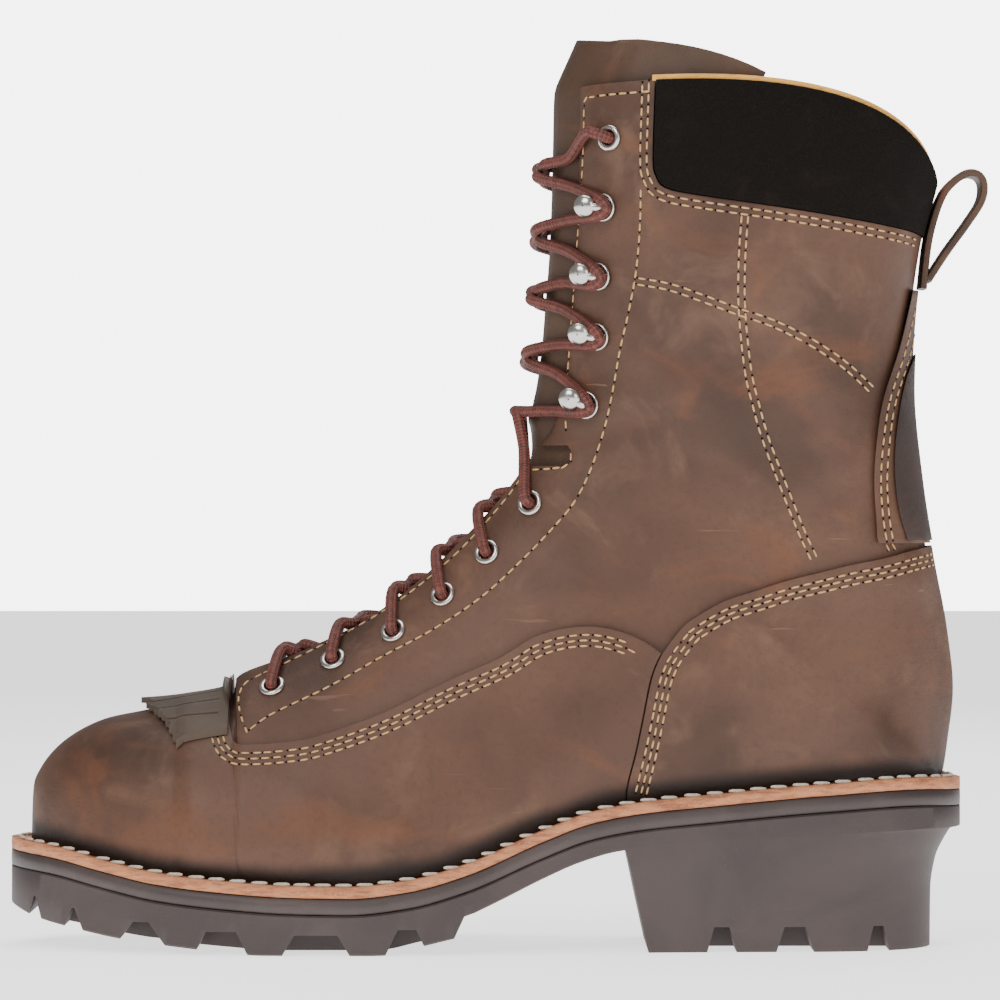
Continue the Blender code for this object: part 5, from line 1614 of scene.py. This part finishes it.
@dataclass
class Fittings:
    """Eyelets, speed hooks and the lace that runs through them."""

    finishes: Finishes
    tongue: Tongue

    def spots(self) -> list[Pair]:
        """Side view places of all eyelets and hooks, from the lowest pair up."""
        return [*EYELETS, *HOOKS, TOP_EYELET]

    def seat(self, number: int, side: int) -> tuple[Vector, Vector, Vector, Vector]:
        """Point, normal, direction to the throat and direction up the facing at a fitting."""
        place, step = find_place(*self.spots()[number], side)
        point, normal = surface_frame(place, side, step)
        edge = section_points(place, side, (0.0,))[0]
        inward = edge - point
        inward = (inward - normal * inward.dot(normal)).normalized()
        upward = section_points(min(place + 0.2, TOP_ROW), side, (step,))[0] - point
        upward = (upward - normal * upward.dot(normal)).normalized()
        return point, normal, inward, upward

    def placed(self, profile: Sequence[Pair], frame_at: Matrix, steps: int = 36
               ) -> bmesh.types.BMesh:
        """Turned shape from a closed profile of radius and height, set on a frame."""
        bm = bmesh.new()
        verts = [bm.verts.new((r, 0.0, z)) for r, z in profile]
        edges = [bm.edges.new((verts[i], verts[(i + 1) % len(verts)])) for i in range(len(verts))]
        bmesh.ops.spin(bm, geom=[*verts, *edges], cent=(0.0, 0.0, 0.0), axis=(0.0, 0.0, 1.0),
                       angle=math.tau, steps=steps, use_merge=True)
        bmesh.ops.remove_doubles(bm, verts=bm.verts, dist=0.000003)
        bmesh.ops.recalc_face_normals(bm, faces=bm.faces)
        bmesh.ops.transform(bm, matrix=frame_at, verts=bm.verts)
        return bm

    def frame_at(self, point: Vector, normal: Vector, inward: Vector) -> Matrix:
        """Placing matrix with Z out of the leather and X towards the throat."""
        turn = Matrix((inward, normal.cross(inward), normal)).transposed()
        return Matrix.Translation(point) @ turn.to_4x4()

    def build_eyelets(self) -> None:
        """Rolled ring and barrel at each eyelet, with a near-black disc of painted shade in its
        opening.
        """
        numbers = [*range(len(EYELETS)), len(self.spots()) - 1]
        ring = [(EYELET_RADIUS + EYELET_WIRE * 1.05 * math.cos(t),
                 FITTING_RAISE + EYELET_WIRE * 0.85 * math.sin(t))
                for t in np.linspace(-0.35, math.pi + 0.35, 12)]
        ring += [(EYELET_RADIUS - EYELET_WIRE, -BARREL_DEPTH),
                 (EYELET_RADIUS - 0.6 * EYELET_WIRE, -BARREL_DEPTH),
                 (EYELET_RADIUS + 0.6 * EYELET_WIRE, -0.0002)]
        for count, number in enumerate(numbers):
            for side, word in SIDES:
                point, normal, inward, _ = self.seat(number, side)
                at = self.frame_at(point, normal, inward)
                node = "eyelet_%s_%d" % (word, count + 1)
                place_piece("ring_%s_%d" % (word, count + 1),
                            mesh_from(self.placed(ring, at), node),
                            [self.finishes.nickel], [node])
                # Near-black disc in the eyelet: painted shade standing in for the dark inside its
                # opening, which is not cut.
                disc = bmesh.new()
                bmesh.ops.create_cone(disc, cap_ends=True, segments=24, depth=DISC_THICK,
                                      radius1=EYELET_RADIUS - DISC_THICK,
                                      radius2=EYELET_RADIUS - DISC_THICK)
                bmesh.ops.transform(disc, matrix=at, verts=disc.verts)
                place_piece("hole_%s_%d" % (word, count + 1), mesh_from(disc, "painted_eyelet_shade"),
                            [self.finishes.dark])

    def build_hooks(self) -> None:
        """Flange with a rolled rim, bent neck and domed head at each speed hook."""
        flange = [(0.0008, 0.0002), (0.0028, 0.0002), (0.0037, 0.0004)]
        flange += [(HOOK_PLATE - 0.0005 + 0.0006 * math.cos(t), 0.0007 + 0.0006 * math.sin(t))
                   for t in np.linspace(2.6, -1.6, 9)]
        flange += [(0.0008, -0.0004)]
        dome = [(0.0002, -0.0010), (HOOK_HEAD * 0.8, -0.0010)]
        dome += [(HOOK_HEAD * math.cos(t), HOOK_HEAD * 0.52 * math.sin(t))
                 for t in np.linspace(-0.3, 1.5, 12)]
        for count in range(len(HOOKS)):
            for side, word in SIDES:
                point, normal, inward, _ = self.seat(len(EYELETS) + count, side)
                at = self.frame_at(point + normal * FITTING_RAISE, normal, inward)
                head = at @ Matrix.Translation((HOOK_FORWARD, 0.0, HOOK_REACH - HEAD_DROP)) @ (
                    Matrix.Rotation(HEAD_TILT, 4, "Y"))
                neck = rounded([at @ Vector(p) for p in (
                    (-0.0012, 0.0, 0.0002), (-0.0014, 0.0, 0.0022), (0.0006, 0.0, 0.0040),
                    (HOOK_FORWARD, 0.0, HOOK_REACH - HEAD_DROP))], 5)
                parts = joined([self.placed(flange, at), self.placed(dome, head),
                                swept(neck, NECK_RADIUS, 12)])
                node = "hook_%s_%d" % (word, count + 1)
                place_piece("speed_" + node, mesh_from(parts, node),
                            [self.finishes.nickel], [node])

    def over_edge(self, number: int, side: int, share: float, lift: float) -> Vector:
        """Point over the facing's edge beside a fitting.

        Args:
            number: The fitting's number.
            side: Its side.
            share: How far towards the next fitting, or less than 0 for the one before.
            lift: Height over the leather's edge, less than 0 for under it.

        Returns:
            The point.
        """
        place, _ = find_place(*self.spots()[number], side)
        beside = min(max(number + (1 if share > 0.0 else -1), 0), len(self.spots()) - 1)
        next_place, _ = find_place(*self.spots()[beside], side)
        place = min(place + abs(share) * (next_place - place), len(SECTIONS) - 1.2)
        edge, normal = surface_frame(place, side, 0.0)
        inward = (self.tongue.middle(place, 0.004) - edge).normalized()
        return edge + (normal + inward * 0.25).normalized() * lift

    def crossing(self, number: int, side: int, layer: float) -> Path:
        """Points over the tongue between a fitting and the next one of the other side."""
        low, _ = find_place(*self.spots()[number], side)
        top, _ = find_place(*self.spots()[number + 1], -side)
        points = []
        for share in (-0.5, 0.0, 0.5):
            place = 0.5 * (low + top) + share * CROSSING_RISE * (top - low)
            bulge = self.tongue.bulge(place)
            if number < len(EYELETS) - 1:
                bulge = min(bulge, CROSSING_SINK)
            spot = self.tongue.middle(place, bulge + LACE_RADIUS + 0.0006 + layer)
            spot.y -= side * share * section(place)["gap"] * BALL_WIDTH * 1.2
            points.append(spot)
        return points

    def strand(self, first: int) -> Path:
        """Run of the lace from a lowest eyelet to a top eyelet.

        Args:
            first: Side that it starts on.

        Returns:
            Smooth points along its middle.
        """
        side, points = first, []
        lift = LACE_RADIUS + LACE_CLEAR
        last = len(self.spots()) - 1
        for number in range(last + 1):
            point, normal, inward, upward = self.seat(number, side)
            if number < len(EYELETS):
                if number:
                    points.append(self.over_edge(number, side, -0.12, -LACE_UNDER))
                over = 0.20 if number < len(EYELETS) - 1 else 0.14
                points += [point - normal * 0.0030 + inward * 0.001, point + normal * 0.0012,
                           point + normal * 0.0031 + inward * 0.0020 + upward * 0.0008,
                           self.over_edge(number, side, over, lift + 0.0004)]
            elif number < last:
                neck = point + normal * 0.0031
                around = HOOK_NECK + LACE_RADIUS
                points += [self.over_edge(number, side, -0.26, lift),
                           neck - upward * around * 0.95 + inward * 0.0012,
                           neck - inward * around * 0.70 - upward * 0.0008,
                           neck - inward * around * 0.70 + upward * 0.0008,
                           neck + upward * around * 0.95 + inward * 0.0012,
                           self.over_edge(number, side, 0.26, lift)]
            else:
                points += [self.over_edge(number, side, -0.30, lift + 0.0006),
                           point + normal * 0.0030 + inward * 0.0075 + upward * 0.0012,
                           point + normal * 0.0036 + inward * 0.0030 + upward * 0.0012,
                           point + normal * 0.0006, point - normal * 0.0035]
            if number < last:
                points += self.crossing(number, side, 0.0 if first < 0 else LACE_RADIUS * 0.9)
            side = -side
        return rounded(points, 6)

    def build_lace(self) -> None:
        """Both strands of the lace."""
        nodes = {-1: ["lace_%02d" % n for n in range(1, 11)], 1: []}
        for first, word in ((-1, "one"), (1, "two")):
            cord = swept(self.strand(first), LACE_RADIUS, 14)
            place_piece("lace_strand_" + word, mesh_from(cord, "lace", 60.0),
                        [self.finishes.lace], nodes[first])

    def build(self) -> None:
        """Build all fittings."""
        self.build_eyelets()
        self.build_hooks()
        self.build_lace()


class Sewn(Enum):
    """Kinds of seam: pitch, stitch length and thickness in metres."""

    PANEL = (0.0036, 0.0027, 0.00036)
    LOCK = (0.0066, 0.0056, 0.00085)


@dataclass
class Stitching:
    """Every seam of the boot, laid on the leathers."""

    finishes: Finishes
    leathers: Leathers
    skin: BVHTree | None = None
    marks: dict[Sewn, list[tuple[Vector, Vector, Vector]]] = field(
        default_factory=lambda: {kind: [] for kind in Sewn})
    # places of the needle holes, where discs of painted shade are laid
    holes: list[tuple[Vector, Vector]] = field(default_factory=list)

    def wrap(self) -> None:
        """Make one search tree of the leathers' surfaces."""
        points, faces = [], []
        for item in self.leathers.made:
            start = len(points)
            points += [v.co.copy() for v in item.data.vertices]
            faces += [[start + i for i in f.vertices] for f in item.data.polygons]
        self.skin = BVHTree.FromPolygons(points, faces)

    def from_pixel(self, spot: Pair) -> Vector | None:
        """Place on the outer side that a pixel of the photograph shows."""
        eye = Vector((0.0, -CAMERA_BACK, CAMERA_HIGH))
        aim = Vector(((spot[0] - PICTURE_CENTRE[0]) * PIXEL, 0.0,
                      CAMERA_HIGH + (PICTURE_CENTRE[1] - spot[1]) * PIXEL))
        return self.skin.ray_cast(eye, (aim - eye).normalized())[0]

    def on_side(self, x: float, z: float, side: int) -> tuple[Vector | None, Vector | None]:
        """Place and normal on one side of the boot at a side view place of the part."""
        start = Vector((x, side * 0.3, z))
        hit = self.skin.ray_cast(start, Vector((0.0, -side, 0.0)))
        return hit[0], hit[1]

    def offset(self, line: Sequence[Pair], distance: float) -> list[Pair]:
        """Side view line in metres moved to its right by a distance."""
        moved = []
        for i, (x, z) in enumerate(line):
            before, after = line[max(i - 1, 0)], line[min(i + 1, len(line) - 1)]
            dx, dz = after[0] - before[0], after[1] - before[1]
            reach = math.hypot(dx, dz) or 1.0
            moved.append((x + dz / reach * distance, z - dx / reach * distance))
        return moved

    def sew(self, line: Sequence[Pair], side: int, kind: Sewn = Sewn.PANEL) -> None:
        """Lay stitches along a side view line in metres on one side of the boot."""
        dense: Path = []
        normals: Path = []
        for a, b in zip(line[:-1], line[1:]):
            count = max(1, int(math.dist(a, b) / 0.0007))
            for k in range(count):
                x, z = (a[j] + (b[j] - a[j]) * k / count for j in (0, 1))
                point, normal = self.on_side(x, z, side)
                if point is not None and (not dense or (point - dense[-1]).length < 0.006):
                    dense.append(point)
                    normals.append(normal)
        self.lay(dense, normals, kind)

    def lay(self, dense: Path, normals: Path, kind: Sewn) -> None:
        """Place stitches at an even pitch along dense points."""
        pitch = kind.value[0]
        travelled = 0.0
        start = 0
        for i in range(1, len(dense)):
            travelled += (dense[i] - dense[i - 1]).length
            if travelled >= pitch:
                middle = (start + i) // 2
                run = (dense[i] - dense[start]).normalized()
                self.marks[kind].append((dense[middle], run, normals[middle]))
                self.holes.append((dense[start], normals[start]))
                start, travelled = i, 0.0

    def pixels(self, line: Sequence[Pair], both: bool = True, gap: float = 0.0,
               count: int = 1) -> None:
        """Sew a line that is given in pixels of the photograph.

        Args:
            line: Pixels along the middle of the seam.
            both: Whether the inner side has it too.
            gap: Distance between its rows.
            count: Number of rows.
        """
        smooth = rounded([Vector((px, py, 0.0)) for px, py in line], 5)
        found = [self.from_pixel((p.x, p.y)) for p in smooth]
        side_line = [(p.x, p.z) for p in found if p is not None]
        for row in range(count):
            moved = self.offset(side_line, (row - 0.5 * (count - 1)) * gap)
            for side in ((-1, 1) if both else (-1,)):
                self.sew(moved, side)

    def follow(self, outline: Sequence[Pair], insets: Sequence[float]) -> None:
        """Sew rows beside a panel's edge, on both sides of the boot."""
        edge = [(along(x) + SHIFT.x, high(z)) for x, z in curved(outline, 6)]
        for inset in insets:
            for side in (-1, 1):
                self.sew(self.offset(edge, inset), side)

    def sew_all(self) -> None:
        """Lay every seam."""
        self.follow(VAMP_EDGE[1:], PANEL_ROWS)
        self.follow([*COUNTER_FRONT[1:], *COUNTER_TOP], PANEL_ROWS)
        self.follow(BACKSTAY_EDGE[1:], (0.0022, 0.0043))
        self.follow(COLLAR_EDGE, (0.0018, 0.0039))
        self.pixels(EYESTAY_SEAM)
        self.pixels(EYESTAY_FRONT)
        self.pixels(FACING_SEAM)
        self.pixels(NOTCH_SEAM)
        self.pixels(FACING_TOP)
        self.pixels(SHAFT_UPRIGHT, gap=0.0021, count=2)
        self.pixels(SHAFT_CROSS, gap=0.0021, count=2)
        self.welt_stitch()

    def welt_stitch(self) -> None:
        """Lockstitch all the way round the welt."""
        ring: Path = []
        for side, flip in ((-1, False), (1, True)):
            edge = edge_points(side, WELT_SEAM_IN)
            points = [Vector((float(x), float(y), welt_top(float(x)) + 0.0002)) + SHIFT
                      for x, y in edge]
            ring += points[::-1] if flip else points
        dense: Path = []
        for a, b in zip(ring, ring[1:] + ring[:1]):
            count = max(1, int((b - a).length / 0.0007))
            dense += [a.lerp(b, k / count) for k in range(count)]
        keep = len(self.holes)
        self.lay(dense, [Vector((0.0, 0.0, 1.0))] * len(dense), Sewn.LOCK)
        del self.holes[keep:]

    def tiled(self, pattern: bpy.types.Mesh, places: Sequence[Matrix], name: str
              ) -> bpy.types.Mesh:
        """One mesh with a copy of a pattern at each place."""
        base = np.ones((len(pattern.vertices), 4))
        base[:, :3] = [v.co for v in pattern.vertices]
        points = np.concatenate([base @ np.array(m).T for m in places])[:, :3]
        faces = [[i + k * len(base) for i in f.vertices]
                 for k in range(len(places)) for f in pattern.polygons]
        mesh = bpy.data.meshes.new(name)
        mesh.from_pydata(points.tolist(), [], faces)
        mesh.shade_smooth()
        return mesh

    def build(self) -> None:
        """Make the stitches, and discs of painted shade at their needle holes."""
        self.wrap()
        self.sew_all()
        for kind, finish, slot, name in (
                (Sewn.PANEL, self.finishes.gold, "lace", "panel_stitches"),
                (Sewn.LOCK, self.finishes.pale, "lace", "welt_stitches")):
            _, long, thick = kind.value
            bead = bmesh.new()
            bmesh.ops.create_uvsphere(bead, u_segments=8, v_segments=5, radius=1.0,
                                      matrix=Matrix.Rotation(math.pi / 2.0, 4, "Y"))
            for vert in bead.verts:
                blunt = math.copysign(abs(vert.co.x)**0.55, vert.co.x)
                vert.co = Vector((blunt * 0.5 * long, vert.co.y * thick, vert.co.z * thick * 0.8))
            pattern = mesh_from(bead, "bead")
            places = []
            for point, run, normal in self.marks[kind]:
                run = (run - normal * run.dot(normal)).normalized()
                turn = Matrix((run, normal.cross(run), normal)).transposed().to_4x4()
                places.append(Matrix.Translation(point + normal * thick * 0.25) @ turn)
            place_piece(name, self.tiled(pattern, places, name), [finish], shift=False)
        # Dark discs at the needle holes are painted shade; the leather itself is not pierced.
        painted_shade_dot = bmesh.new()
        bmesh.ops.create_circle(painted_shade_dot, cap_ends=True, segments=6, radius=0.00042)
        pattern = mesh_from(painted_shade_dot, "painted_shade_dot")
        places = [Matrix.Translation(point + normal * 0.00008)
                  @ normal.to_track_quat("Z", "Y").to_matrix().to_4x4()
                  for point, normal in self.holes]
        place_piece("painted_needle_hole_shade", self.tiled(pattern, places, "painted_needle_hole_shade"),
                    [self.finishes.dark], shift=False)


@dataclass(frozen=True)
class Studio:
    """Pale floor, soft lights and the photograph's camera."""

    floor_tone: tuple[float, float, float, float] = (0.86, 0.86, 0.86, 1.0)
    floor_glow: float = 1.5
    ambient: float = 0.28
    paper_white: float = 6.0

    def light(self, name: str, place: tuple[float, float, float], size: float, power: float,
              aim: tuple[float, float, float] = (0.0, 0.0, 0.12)) -> None:
        """Add a square soft light that points at the boot."""
        lamp = bpy.data.lights.new(name, "AREA")
        lamp.size = size
        lamp.energy = power
        item = bpy.data.objects.new(name, lamp)
        item.location = place
        item.rotation_euler = (Vector(aim) - Vector(place)).to_track_quat("-Z", "Y").to_euler()
        bpy.context.scene.collection.objects.link(item)

    def build(self) -> None:
        """Set up the floor, the world, the lights and the camera."""
        bm = bmesh.new()
        bmesh.ops.create_grid(bm, x_segments=1, y_segments=1, size=6.0)
        floor = bpy.data.objects.new("floor", mesh_from(bm, "floor"))
        material = bpy.data.materials.new("floor_paper")
        material.use_nodes = True
        paper = material.node_tree.nodes["Principled BSDF"]
        paper.inputs["Base Color"].default_value = self.floor_tone
        paper.inputs["Roughness"].default_value = 0.9
        paper.inputs["Emission Color"].default_value = (1.0, 1.0, 1.0, 1.0)
        paper.inputs["Emission Strength"].default_value = self.floor_glow
        floor.data.materials.append(material)
        bpy.context.scene.collection.objects.link(floor)
        world = bpy.data.worlds.new("studio")
        world.use_nodes = True
        tree = world.node_tree
        paper = tree.nodes["Background"]
        paper.inputs["Color"].default_value = (1.0, 1.0, 1.0, 1.0)
        ray = tree.nodes.new("ShaderNodeLightPath")
        power = tree.nodes.new("ShaderNodeMath")
        power.operation = "MULTIPLY_ADD"
        power.inputs[1].default_value = self.paper_white - self.ambient
        power.inputs[2].default_value = self.ambient
        tree.links.new(ray.outputs["Is Camera Ray"], power.inputs[0])
        tree.links.new(power.outputs["Value"], paper.inputs["Strength"])
        bpy.context.scene.world = world
        for name, place, size, power in LIGHTS:
            self.light(name, place, size, power)
        lens = bpy.data.cameras.new("camera")
        lens.sensor_width = SENSOR
        lens.lens = SENSOR * CAMERA_BACK / (PIXEL * PICTURE_SIDE)
        camera = bpy.data.objects.new("camera", lens)
        middle = (0.5 * PICTURE_SIDE - PICTURE_CENTRE[0]) * PIXEL
        camera.location = (middle, -CAMERA_BACK, CAMERA_HIGH)
        camera.rotation_euler = (math.pi / 2.0, 0.0, 0.0)
        bpy.context.scene.collection.objects.link(camera)
        bpy.context.scene.camera = camera


def main() -> None:
    """Dress the boot: set, sole, leathers, tongue, fittings, seams."""
    logging.basicConfig(level=logging.INFO)
    Studio().build()
    finishes = Finishes()
    Sole(finishes).build()
    leathers = Leathers(finishes)
    leathers.build()
    tongue = Tongue(finishes)
    tongue.build()
    Fittings(finishes, tongue).build()
    Stitching(finishes, leathers).build()


if __name__ == "__main__":
    main()
